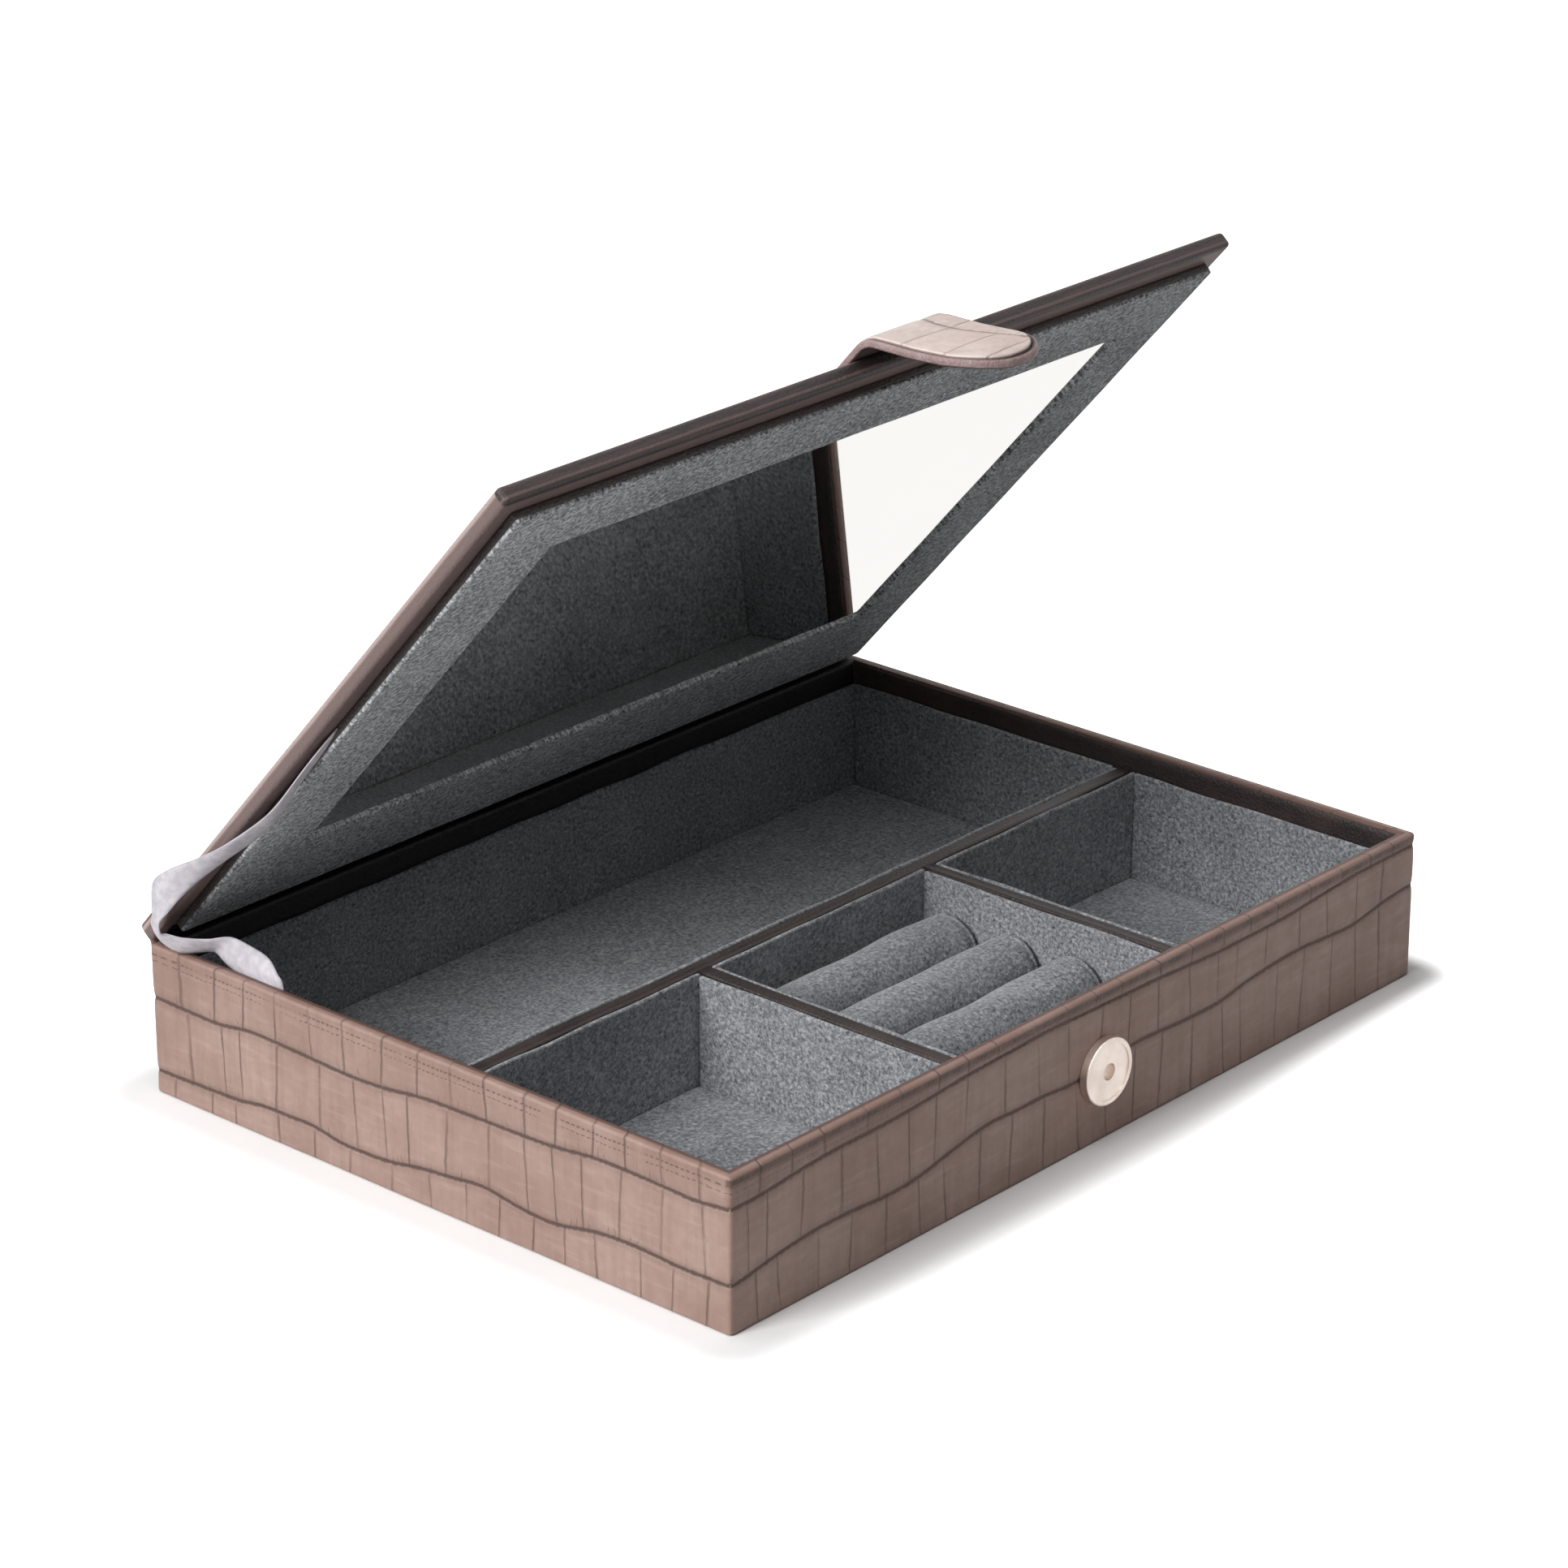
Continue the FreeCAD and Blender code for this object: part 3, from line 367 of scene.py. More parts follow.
def platedMetal(name, base):
    # Satin plating: fine marks stretched along one direction, and soft stains.
    paint = Paint(name)
    place = paint.place()
    cloud = paint.noise(place, 160, 3, 0.6)
    marks = paint.noise(paint.stretched(place, (1.0, 6.0, 1.0)), 1800, 3, 0.7)
    colour = paint.mix(cloud.between(0.3, 0.75) * 0.5, base, linear(192, 176, 166))
    height = marks + 0.4 * cloud
    return paint.finish(colour, 0.27 + 0.14 * cloud, height, 0.04, Metallic=1.0)


def mirrorGlass(name):
    paint = Paint(name)
    haze = paint.noise(paint.place(), 24, 2)
    colour = paint.mix(haze.between(0.4, 0.8) * 0.2, linear(243, 243, 241), linear(238, 238, 236))
    return paint.finish(colour, 0.012 + 0.012 * haze, Metallic=1.0)


def pressedBoard(name, dark, pale, fibre):
    paint = Paint(name)
    place = paint.place()
    strands = paint.noise(paint.stretched(place, fibre), 700, 4, 0.7, 0.5)
    colour = paint.mix(strands.between(0.3, 0.7), dark, pale)
    return paint.finish(colour, 0.8 + 0.12 * strands, strands, 0.3)


crocSkin = crocLeather("croc_leather")
rimmedSkin = crocLeather("croc_leather_rimmed", rimmed=True)
strapSkin = crocLeather("croc_leather_strap", linear(220, 206, 200), linear(204, 184, 177), 0.6)
darkSkin = smoothLeather("smooth_leather", linear(38, 30, 29), linear(54, 43, 40))
edgeSkinPaintedLight = edgeLeatherPaintedLight("edge_leather_painted_light")
blackSkin = smoothLeather("hinge_leather", linear(8, 7, 8), linear(13, 12, 12), gloss=0.15)
felt = feltCloth("felt", linear(51, 54, 59), linear(190, 193, 198))
# painted light: the same felt as in the box, made paler for the light the lid's frame gets from the front and
# below
frameFeltPaintedLight = feltCloth("felt_on_the_lid_painted_light", linear(52, 54, 57), linear(214, 217, 220), spread=0.09)
board = pressedBoard("fibreboard", linear(148, 118, 88), linear(180, 150, 116), (0.5, 0.5, 1))
slotMaterials = {
    "croc_leather": crocSkin,
    "smooth_leather": darkSkin,
    "felt": felt,
    "satin": satinCloth("satin"),
    "underside_sheet": feltCloth("underside_sheet", linear(38, 36, 36), linear(70, 66, 66), 0.3),
    "board": board,
    "card": board,
    "mirror": mirrorGlass("mirror"),
    "metal": platedMetal("plated_metal", linear(233, 221, 213)),
    "magnet": pressedBoard("sintered_magnet", linear(62, 62, 64), linear(84, 84, 86), (1, 1, 1)),
}
for part in frame["record"]["subparts"]:
    node = frame["nodes"][part["node"]]
    node.data.materials.clear()
    node.data.materials.append(slotMaterials[part["material_slot"]])
print("materials made:", len(bpy.data.materials))


# ---- meshes
def loopStations(alongCount, acrossCount, cornerCount):
    # Stations round a rectangle, anticlockwise from the middle of its +U end. Each lies a share of the
    # way between two corners' arcs, with one outward heading.
    ends = np.arange(1, acrossCount) / acrossCount
    sides = np.arange(1, alongCount) / alongCount
    half = acrossCount // 2 - 1
    rows = [(3, 0, share, 0) for share in ends[half:]]
    for corner in range(4):
        rows += [(corner, corner, 0, 90 * n / cornerCount + 90 * corner) for n in range(cornerCount + 1)]
        shares = [sides, ends, sides, []][corner]
        rows += [(corner, corner + 1, share, 90 * corner + 90) for share in shares]
    rows += [(3, 0, share, 360) for share in ends[:half]]
    first, second, share, heading = np.array(rows, float).T
    turn = np.radians(heading)
    out = np.stack([np.cos(turn), np.sin(turn)], -1).round(9)
    return {"first": first.astype(int), "second": second.astype(int), "share": share, "out": out}


def loopPoints(stations, halfU, halfV, radii, inset):
    # Rounded rectangles, one for each inset. A corner keeps its centre while the inset is under its
    # radius: a point is the mean of two corner centres by its share, plus the radius along its heading.
    inset = np.asarray(inset, float)[:, None]
    radius = np.maximum(np.asarray(radii, float)[None, :] - inset, 0.03)
    signU, signV = np.array([1, -1, -1, 1]), np.array([1, 1, -1, -1])
    centreU = signU * (halfU - inset - radius)
    centreV = signV * (halfV - inset - radius)
    share = stations["share"]
    centreU, centreV, radius = (
        values[:, stations["first"]] * (1 - share) + values[:, stations["second"]] * share
        for values in (centreU, centreV, radius)
    )
    return centreU + radius * stations["out"][:, 0], centreV + radius * stations["out"][:, 1]


def sweep(stations, halfU, halfV, radii, profile):
    # The rows (inset, height) of a profile, carried round rounded rectangles.
    u, v = loopPoints(stations, halfU, halfV, radii, profile[:, 0])
    return u, v, np.repeat(profile[:, 1:], u.shape[1], 1)


def nodeBox(node):
    # The lowest and the highest corner of a node's box, in millimetres.
    return [np.array(corner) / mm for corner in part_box(node)]


def bridge(row, columns):
    # Faces that join a closed row across its mirror line, so that a plate's last loop is shut.
    faces = []
    for j in range(columns // 2):
        corners = [j, j + 1, columns - j - 1, (columns - j) % columns]
        faces.append([row * columns + corner for corner in dict.fromkeys(corners)])
    return faces


def makePiece(name, grid, material, closeRows=False, closeColumns=True, ends="none", maps=None):
    # A grid of points, rows by columns, becomes faces between neighbours. Maps are grids of the same
    # shape with one more row or column where the grid closes on itself.
    rows, columns = grid.shape[:2]
    lastRow, lastColumn = rows - (not closeRows), columns - (not closeColumns)
    row, column = np.meshgrid(np.arange(lastRow), np.arange(lastColumn), indexing="ij")
    row, column = row.ravel(), column.ravel()
    corners = [(row, column), (row, column + 1), (row + 1, column + 1), (row + 1, column)]
    faces = np.stack([(r % rows) * columns + c % columns for r, c in corners], -1).tolist()
    extra = []
    if ends == "bridge":
        extra = bridge(0, columns) + bridge(rows - 1, columns)
    if ends == "cap":
        extra = [list(range(columns)), list(range((rows - 1) * columns, rows * columns))]
    mesh = bpy.data.meshes.new(name)
    mesh.from_pydata((grid.reshape(-1, 3) * mm).tolist(), [], faces + extra)
    for title, values in (maps or {}).items():
        wide = np.concatenate([values[r, c][:, None] for r, c in corners], 1).reshape(-1, 2)
        last = [values[index // columns, index % columns] for face in extra for index in face]
        wide = np.concatenate([wide, np.array(last).reshape(-1, 2)])
        mesh.uv_layers.new(name=title).data.foreach_set("uv", wide.astype(np.float32).ravel())
    if closeRows or ends != "none":
        work = bmesh.new()
        work.from_mesh(mesh)
        bmesh.ops.recalc_face_normals(work, faces=work.faces)
        work.to_mesh(mesh)
        work.free()
    mesh.shade_smooth()
    mesh.materials.append(material)
    piece = bpy.data.objects.new(name, mesh)
    bpy.context.scene.collection.objects.link(piece)
    return piece


def settle(piece, body, slot, *nodes):
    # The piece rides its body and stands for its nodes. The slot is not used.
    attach(piece, body)
    if nodes:
        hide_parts(*nodes)
    return piece


def arcRows(centre, radius, start, end, count):
    # Points of an arc as (inset, height) pairs: centre plus radius along each heading.
    turn = np.radians(np.linspace(start, end, count + 1))
    return [(centre[0] + radius * math.cos(t), centre[1] + radius * math.sin(t)) for t in turn]


# ---- the embossed pattern
def scalePattern(along, across, lines, creases):
    # Long grooves at the heights "lines" split the skin into rows, and each row has its own cross
    # creases. Returns the croc leather's maps and how far the skin sinks.
    order = np.stack([across - line for line in lines])
    near, row = np.abs(order).min(0), (order > 0).sum(0)
    counts, gaps = [], []
    for number, places in enumerate(creases):
        spot = along + 0.07 * np.sin(along * 0.11 + 2.1 * number) * (across - across.mean())
        counts.append(np.interp(spot, places, np.arange(len(places)) + 40.0 * number))
        gaps.append(np.interp(spot, places, np.gradient(places)))
    count, gap = np.choose(row, counts), np.choose(row, gaps)

    def nearest(part):
        return np.take_along_axis(part, np.abs(part).argmin(0)[None], 0)[0]

    apart = np.abs(count - np.round(count)) * gap
    sink = 0.30 * np.exp(-((near / 0.62) ** 2)) + 0.14 * np.exp(-((near / 2.2) ** 2))
    crease = 0.13 * np.exp(-((apart / 0.62) ** 2)) + 0.05 * np.exp(-((apart / 2.0) ** 2))
    sink = sink + crease * (1 - np.exp(-((near / 1.4) ** 2)))
    pairs = {"scales": (count, across), "lines": (nearest(order[::2]), nearest(order[1::2]))}
    return {name: np.stack(pair, -1) for name, pair in pairs.items()}, sink


def smoothLine(places, heights, along, lap=None):
    # Straight runs between given points, rounded by averaging over a few millimetres.
    total = 0.0
    for offset in np.linspace(-5, 5, 11):
        total = total + np.interp(along + offset, places, heights, period=lap)
    return total / 11


def randomPlaces(start, end, pitch, seed):
    # Places about a pitch apart, each step drawn between 0.72 and 1.3 of it.
    draw = np.random.default_rng(seed)
    steps = pitch * draw.uniform(0.72, 1.3, int((end - start) / pitch) + 2)
    places = start + np.cumsum(steps)
    return places[places < end - 0.5 * pitch].tolist()


# The walls' grooves and creases, by distance round the box from its front left corner:
# the front runs 0 to 263, the right to 455, the back to 718 and the left to 910.
walls = {
    "lap": 910.0,
    "lowerLine": [
        (0, 12.6), (7, 13.5), (17, 15.0), (29, 16.1), (42, 15.9), (55, 14.9), (66, 15.5), (78, 18.1),
        (91, 20.3), (103, 19.5), (108, 20.0), (124, 18.7), (134, 19.6), (144, 21.2), (153, 21.3),
        (160, 20.7), (170, 20.3), (181, 20.3), (191, 22.2), (206, 23.5), (215, 23.7), (227, 22.9),
        (238, 22.5), (248, 24.6), (263, 25.8), (300, 24.5), (345, 21.0), (400, 19.5), (455, 16.0),
        (500, 15.0), (560, 13.5), (610, 11.0), (660, 9.0), (720, 5.9), (737, 6.5), (750, 6.9),
        (756, 8.5), (765, 8.2), (775, 8.9), (782, 6.9), (799, 7.3), (812, 9.7), (823, 10.5),
        (831, 12.0), (842, 10.1), (854, 9.3), (869, 12.4), (882, 12.9), (894, 12.1), (910, 12.2),
    ],
    "upperLine": [
        (0, 32.4), (12, 32.1), (25, 33.4), (36, 33.9), (51, 33.8), (62, 34.2), (83, 35.6), (114, 36.6),
        (135, 35.9), (154, 35.6), (180, 34.4), (208, 34.6), (236, 36.6), (263, 36.8), (300, 36.0),
        (345, 35.2), (400, 35.8), (455, 34.0), (500, 33.0), (560, 31.5), (610, 30.5), (660, 28.5),
        (720, 25.7), (743, 25.3), (751, 27.1), (762, 26.9), (787, 26.1), (799, 26.5), (811, 28.3),
        (823, 28.7), (844, 29.2), (855, 29.5), (867, 31.1), (878, 31.3), (889, 31.0), (902, 30.6),
        (910, 31.8),
    ],
    "frontLow": [
        8, 15, 30, 42, 54, 65, 74, 88, 100, 112, 124, 135, 147, 158, 170, 182, 189, 205, 216, 228, 238, 248,
    ],
    "frontMiddle": [
        6, 12, 24, 38, 51, 62, 71, 82, 97, 110, 121, 133, 144, 156, 169, 180, 187, 199, 214, 226, 238, 248,
    ],
    "frontTop": [
        9, 21, 33, 47, 58, 72, 84, 95, 108, 119, 131, 142, 157, 168, 181, 193, 205, 218, 230, 243, 254,
    ],
    "leftLow": [726, 739, 746, 761, 775, 788, 801, 813, 826, 838, 849, 858, 867, 882, 893, 904],
    "leftMiddle": [731, 743, 749, 762, 777, 789, 799, 807, 820, 834, 846, 855, 864, 876, 889, 902],
    "leftTop": [729, 740, 750, 762, 775, 786, 798, 810, 822, 834, 846, 855, 867, 878, 890, 901],
    "drawn": (256, 716),  # the stretch with drawn creases
}
creasePitch = 12.4


def wallCreases(front, left, seed):
    # Listed creases on the front and the left, drawn ones on the right and the back, and the
    # first and last ones repeated one lap away.
    places = walls[front] + randomPlaces(*walls["drawn"], creasePitch, seed) + walls[left]
    places = np.array(sorted(places), float)
    return np.concatenate([[places[-1] - walls["lap"]], places, [places[0] + walls["lap"]]])


covering = {
    "columns": (262, 190, 4),
    "rowPitch": 0.5,
    "flange": (12.0, 8.0, 4.0, 1.6),  # insets of its rows under the box
    "skin": 0.6,
    "rimRound": 0.9,
    "rimRows": (1.6, 2.3),  # insets of its rows on the rim
    "footRound": 0.8,
    "opening": 3.4,  # rim, from the outside face to the inside of the wall board
    "openingRound": 0.5,
    "boardTop": 39.42,
    "fade": ([0.6, 2.0, 38.6, 39.6], [0, 1, 1, 0]),  # how much of the relief shows, by height
    "wave": 0.05,
}
skin, low, high = covering["skin"], covering["footRound"], box["height"] - covering["rimRound"]
foot = [(inset, 0.0) for inset in covering["flange"]] + arcRows((low, low), low, 270, 180, 3)
wall = [(0.0, z) for z in np.arange(low + covering["rowPitch"], high - 0.2, covering["rowPitch"])]
top = arcRows((covering["rimRound"], high), covering["rimRound"], 180, 90, 4)
top += [(inset, box["height"]) for inset in covering["rimRows"]]
lip = (covering["opening"] - covering["openingRound"], box["height"] - covering["openingRound"])
top += arcRows(lip, covering["openingRound"], 90, 0, 3)
inner = [(covering["opening"], covering["boardTop"]), (skin, covering["boardTop"])]
inner += [(skin, skin), (covering["flange"][0], skin)]
profile = np.array(foot + wall + top + inner)
stations = loopStations(*covering["columns"])
x, y, z = sweep(stations, halfWidth, halfDepth, [box["cornerRound"]] * 4, profile)
edge = np.stack([x[len(foot)], y[len(foot)]])
steps = np.hypot(*np.diff(np.concatenate([edge, edge[:, :1]], 1)))
around = np.concatenate([[0], np.cumsum(steps)])
around = (around * walls["lap"] / around[-1] + box["width"] + halfDepth) % walls["lap"]
wide = np.broadcast_to(around, (len(profile) + 1, len(around)))
heights = np.append(profile[:, 1], profile[0, 1])[:, None] + np.zeros_like(wide)
lines = [smoothLine(*zip(*walls[key]), wide, walls["lap"]) for key in ("lowerLine", "upperLine")]
rows = enumerate(("Low", "Middle", "Top"))
creases = [wallCreases(f"front{row}", f"left{row}", 5 + number) for number, row in rows]
maps, sink = scalePattern(wide, heights, lines, creases)
sink = sink[:-1, :-1] * np.interp(profile[:, 1], *covering["fade"])[:, None]
sink = sink + covering["wave"] * (1 + smoothNoise(wide, heights, 3, 60)[:-1, :-1])
sink[profile[:, 0] > 0.5] = 0
x = x - stations["out"][:, 0] * sink
y = y - stations["out"][:, 1] * sink
piece = makePiece("base_covering_skin", np.stack([x, y, z], -1), rimmedSkin, closeRows=True, maps=maps)
settle(piece, "base", "croc_leather", "base_covering")
print("base covering:", len(piece.data.polygons), "faces")


# ---- lining and dividers
def ringPiece(name, stations, halves, radius, profile, material, centre=(0, 0), turned=False, wave=0):
    # A closed profile of (inset, height) pairs carried round a rounded rectangle.
    u, v, z = sweep(stations, *halves, [radius] * 4, np.array(profile, float))
    if wave:
        sway = wave * smoothNoise(u, v, 11, 55)
        u, v = u + stations["out"][:, 0] * sway, v + stations["out"][:, 1] * sway
    grid = np.stack([u + centre[0], v + centre[1], z], -1)
    grid = fromLid(grid) if turned else grid
    return makePiece(name, grid, material, closeRows=True)


wallStations = loopStations(96, 72, 3)
lining = {"halves": (128.1, 92.6), "radius": 0.6, "low": 22.0, "high": 39.4, "skin": 0.5}
lining.update({"bevel": 0.15, "rowPitch": 1.9})
skin, low, high = lining["skin"], lining["low"], lining["high"]
profile = [(0, low), (skin - lining["bevel"], low)]
profile += [(skin, z) for z in np.arange(low + 0.3, high - 0.25, lining["rowPitch"])]
profile += [(skin, high - 0.2), (skin - lining["bevel"], high), (0, high)]
args = (wallStations, lining["halves"], lining["radius"], profile, darkSkin)
settle(ringPiece("rim_lining_skin", *args), "base", "smooth_leather", "rim_lining")

dividers = {"half": 2.0, "skin": 0.5, "low": 20.2, "high": 34.2, "round": 0.75, "step": 3.0}
dividers.update({"dish": 0.16, "dishHalf": 0.6, "rows": 8, "ripple": 0.11, "sway": 0.1})
half, low, high, bend = (dividers[key] for key in ("half", "low", "high", "round"))
side = arcRows((half - bend, high - bend), bend, 0, 90, 5) + [(dividers["dishHalf"], high - dividers["dish"])]
side = [(half, z) for z in np.linspace(low, high - bend - 0.1, dividers["rows"])] + side
inner, under = half - dividers["skin"], high - dividers["skin"]
section = [(-across, z) for across, z in side] + side[::-1]
section = np.array(section + [(inner, low), (inner, under), (-inner, under), (-inner, low)])
for number, name in enumerate(("long_divider", "left_divider", "right_divider")):
    lowest, highest = nodeBox(f"{name}_wrap")
    run = 0 if number == 0 else 1
    middle = (lowest + highest)[1 - run] / 2
    along = np.linspace(lowest[run], highest[run], int((highest - lowest)[run] / dividers["step"]) + 1)
    along = along[:, None]
    z = section[:, 1] + dividers["ripple"] * smoothNoise(along, 0 * along, 20 + number, 34)
    across = section[:, 0] + dividers["sway"] * smoothNoise(along, 0 * along, 25 + number, 60)
    spots = [along + 0 * across, across + middle]
    grid = np.stack([*(spots if run == 0 else spots[::-1]), np.minimum(z, high + 0.1)], -1)
    piece = makePiece(f"{name}_skin", grid, darkSkin, ends="cap")
    settle(piece, "base", "smooth_leather", f"{name}_wrap")
print("lining and dividers made")


# ---- felt
def plateProfile(halfWidth, thickness, edge, step):
    # Rows of (inset, height) from the underside's middle, round the edge, to the top's middle.
    depth = halfWidth - 0.08
    inner = np.linspace(depth, edge + 0.3, max(3, int(depth / step) + 1))
    under = [(inset, 0.0) for inset in inner]
    over = [(inset, thickness) for inset in inner[::-1]]
    edges = arcRows((edge, edge), edge, 270, 180, 3) + arcRows((edge, thickness - edge), edge, 180, 90, 4)
    return np.array(under + edges + over)


felts = {"edge": 0.6, "step": 3.6, "wave": 0.13, "waveSize": 36.0, "padEdge": 0.5}
felts.update({"sag": 0.25, "sagSize": 30})  # how unevenly a card's top edge is cut
rooms = ("back", "left", "ring", "right")
sides = ("front", "back", "left", "right")


def feltPlate(node, seed, edge, mirrored):
    # A card or pad in its node's box: u runs along it, v up or back, n through it towards the room.
    lowest, highest = nodeBox(node)
    spans, middle = highest - lowest, (lowest + highest) / 2
    through = int(spans.argmin())
    up = 1 if through == 2 else 2
    run = 3 - through - up
    stations = loopStations(max(8, int(spans[run] / felts["step"])), max(6, 2 * int(spans[up] / 7)), 3)
    profile = plateProfile(spans[up] / 2, spans[through], edge, felts["step"])
    u, v, n = sweep(stations, spans[run] / 2, spans[up] / 2, [edge] * 4, profile)
    shown = n / spans[through]
    n = n - shown * felts["wave"] * (1 + smoothNoise(u, v, seed, felts["waveSize"]))
    if up == 2:
        sag = felts["sag"] * (v > 0) * (1 + smoothNoise(u, 0 * u, seed + 50, felts["sagSize"]))
        v = v - sag * (v / v.max())
    grid = np.zeros((*u.shape, 3))
    grid[..., run] = u + middle[run]
    grid[..., up] = v + middle[up]
    grid[..., through] = highest[through] - n if mirrored else lowest[through] + n
    piece = makePiece(f"{node}_felt", grid, felt, ends="bridge")
    return settle(piece, "base", "felt", node)


for number, room in enumerate(rooms):
    for index, side in enumerate(sides):
        inwards = side in ("back", "right")
        feltPlate(f"{room}_liner_{side}", 100 + 10 * number + index, felts["edge"], inwards)
    feltPlate(f"{room}_floor_pad", 150 + number, felts["padEdge"], False)

rolls = {"edge": 8.88, "foot": 1.0, "endRound": 1.7, "slack": 0.28, "sides": (3.5, 6.5, 9.5)}
rolls.update({"seam": 2.1, "seamDepth": 0.55, "seamWidth": 0.42, "fill": 0.85})
for number in range(1, 5):
    lowest, highest = nodeBox(f"ring_roll_{number}")
    half, tall = (highest - lowest)[1] / 2, (highest - lowest)[2]
    edge, foot, endRound = rolls["edge"], rolls["foot"], rolls["endRound"]
    side = arcRows((half - foot, foot), foot, 270, 360, 3) + [(half, z) for z in rolls["sides"]]
    side += arcRows((half - edge, tall - edge), edge, 0, 90, 14)
    section = np.array(side + [(-y, z) for y, z in side[::-1]])
    ends = highest[0] - endRound * (1 - np.cos(np.linspace(0, math.pi / 2, 6)))
    inside = np.linspace(lowest[0] + endRound + 0.8, highest[0] - endRound - 0.4, 84)
    along = np.concatenate([lowest[0] + highest[0] - ends, inside, ends[::-1]])
    past = np.clip(endRound - (highest[0] - np.abs(along)), 0, endRound)
    fromSeam = (along - highest[0] + rolls["seam"]) / rolls["seamWidth"]
    pull = endRound - np.sqrt(endRound**2 - past**2) + rolls["seamDepth"] * np.exp(-(fromSeam**2))
    slack = 1 + smoothNoise(along[:, None], 2.2 * section[:, 0] + section[:, 1], number, 26)
    pull = pull[:, None] + rolls["slack"] * slack
    y = section[:, 0] * (1 - pull / half)
    z = section[:, 1] * (1 - pull / tall)
    grid = np.stack([along[:, None] + 0 * y, y + (lowest + highest)[1] / 2, z + lowest[2]], -1)
    piece = makePiece(f"ring_roll_{number}_felt", grid, felt, ends="cap")
    settle(piece, "base", "felt", f"ring_roll_{number}")
print("felt cards, pads and ring rolls made")


# ---- lid
edgeBand = {"turnIn": (16.0, 12.0, 8.0, 4.0, 1.6), "skin": 0.6, "round": 1.3, "footRound": 1.1}
edgeBand.update({"lip": 1.35, "lipTop": 4.34, "lipLow": 3.75, "floor": 0.62, "wave": 0.05})
skin, low, high = edgeBand["skin"], edgeBand["footRound"], lid["thickness"] - edgeBand["round"]
profile = [(inset, 0.0) for inset in edgeBand["turnIn"]] + arcRows((low, low), low, 270, 180, 4)
profile += [(0.0, z) for z in np.linspace(low + 0.4, high - 0.3, 5)]
profile += arcRows((edgeBand["round"], high), edgeBand["round"], 180, 90, 5)
profile += [(edgeBand["lip"], edgeBand["lipTop"]), (edgeBand["lip"], edgeBand["lipLow"])]
profile += [(skin, edgeBand["lipLow"]), (skin, edgeBand["floor"]), (edgeBand["turnIn"][0], edgeBand["floor"])]
args = (loopStations(160, 120, 4), (halfWidth, halfDepth), lid["cornerRound"], profile, edgeSkinPaintedLight)
piece = ringPiece("lid_edge_skin", *args, centre=(0, -halfDepth), turned=True, wave=edgeBand["wave"])
settle(piece, "lid", "smooth_leather", "lid_covering")


def crocPlate(name, plate, outer, radii, stations, toWorld, material):
    # A plate whose top carries the embossed pattern: wavy grooves along u, a pitch apart, and
    # creases across between them. Its underside has rows only at the edge and in the middle.
    halves = [half - plate["inset"] for half in outer]
    profile = plateProfile(halves[1], plate["high"] - plate["low"], plate["edge"], plate["step"])
    inset, height = profile.T
    profile = profile[(height > 0) | (inset > halves[1] - 0.2) | (inset < 1)]
    profile[:, 1] += plate["low"]
    inset, height = profile.T
    u, v, n = sweep(stations, *halves, radii, profile)
    along, across = (np.concatenate([part, part[:, :1]], 1) + half for part, half in zip((u, v), halves))
    lines = []
    for number in range(plate["grooves"]):
        sway = 0.13 * plate["rowsPitch"] * smoothNoise(along, 0 * along, plate["seed"] + number, 46)
        lines.append((number + 0.55) * plate["rowsPitch"] + sway)
    reach, seed = (-14, 2 * halves[0] + 26, creasePitch), plate["seed"] + 40
    creases = [np.array(randomPlaces(*reach, seed + number)) for number in range(plate["grooves"] + 1)]
    maps, sink = scalePattern(along, across, lines, creases)
    maps["lines"][height < height.max() - 0.25] = 0  # dark round the edge, as in a groove
    shown = (height >= height.max() - 0.02) * np.clip((inset - 0.4) / plate["fade"], 0, 1)
    n = n - (sink * shown[:, None])[:, :-1]
    return makePiece(name, toWorld(u, v, n), material, ends="bridge", maps=maps)


def onLid(u, v, n):
    return fromLid(np.stack([u, v - halfDepth, n], -1))


topCover = {"inset": 1.0, "low": 3.8, "high": lid["thickness"], "edge": 0.3, "step": 1.25}
topCover.update({"rowsPitch": 16.5, "grooves": 12, "fade": 1.5, "seed": 60})
args = ((halfWidth, halfDepth), [0.6] * 4, loopStations(210, 152, 2), onLid, crocSkin)
settle(crocPlate("lid_top_skin", topCover, *args), "lid", "croc_leather", "lid_top_cover")

panel = {"halves": (126.3, 89.7), "low": -2.0, "skin": 0.4, "turn": 10.0, "round": 0.35}
skin, turn, low, bend = (panel[key] for key in ("skin", "turn", "low", "round"))
profile = [(skin, 0), (0.1, 0), (0, -0.15), (0, -0.8), (0, low + 0.6)]
profile += arcRows((bend, low + bend), bend, 180, 270, 3)
profile += [(turn, low), (turn, low + skin), (skin, low + skin)]
args = (loopStations(96, 72, 3), panel["halves"], 0.6, profile, darkSkin)
piece = ringPiece("panel_skin", *args, centre=(0, -halfDepth), turned=True)
settle(piece, "lid", "smooth_leather", "panel_wrap")

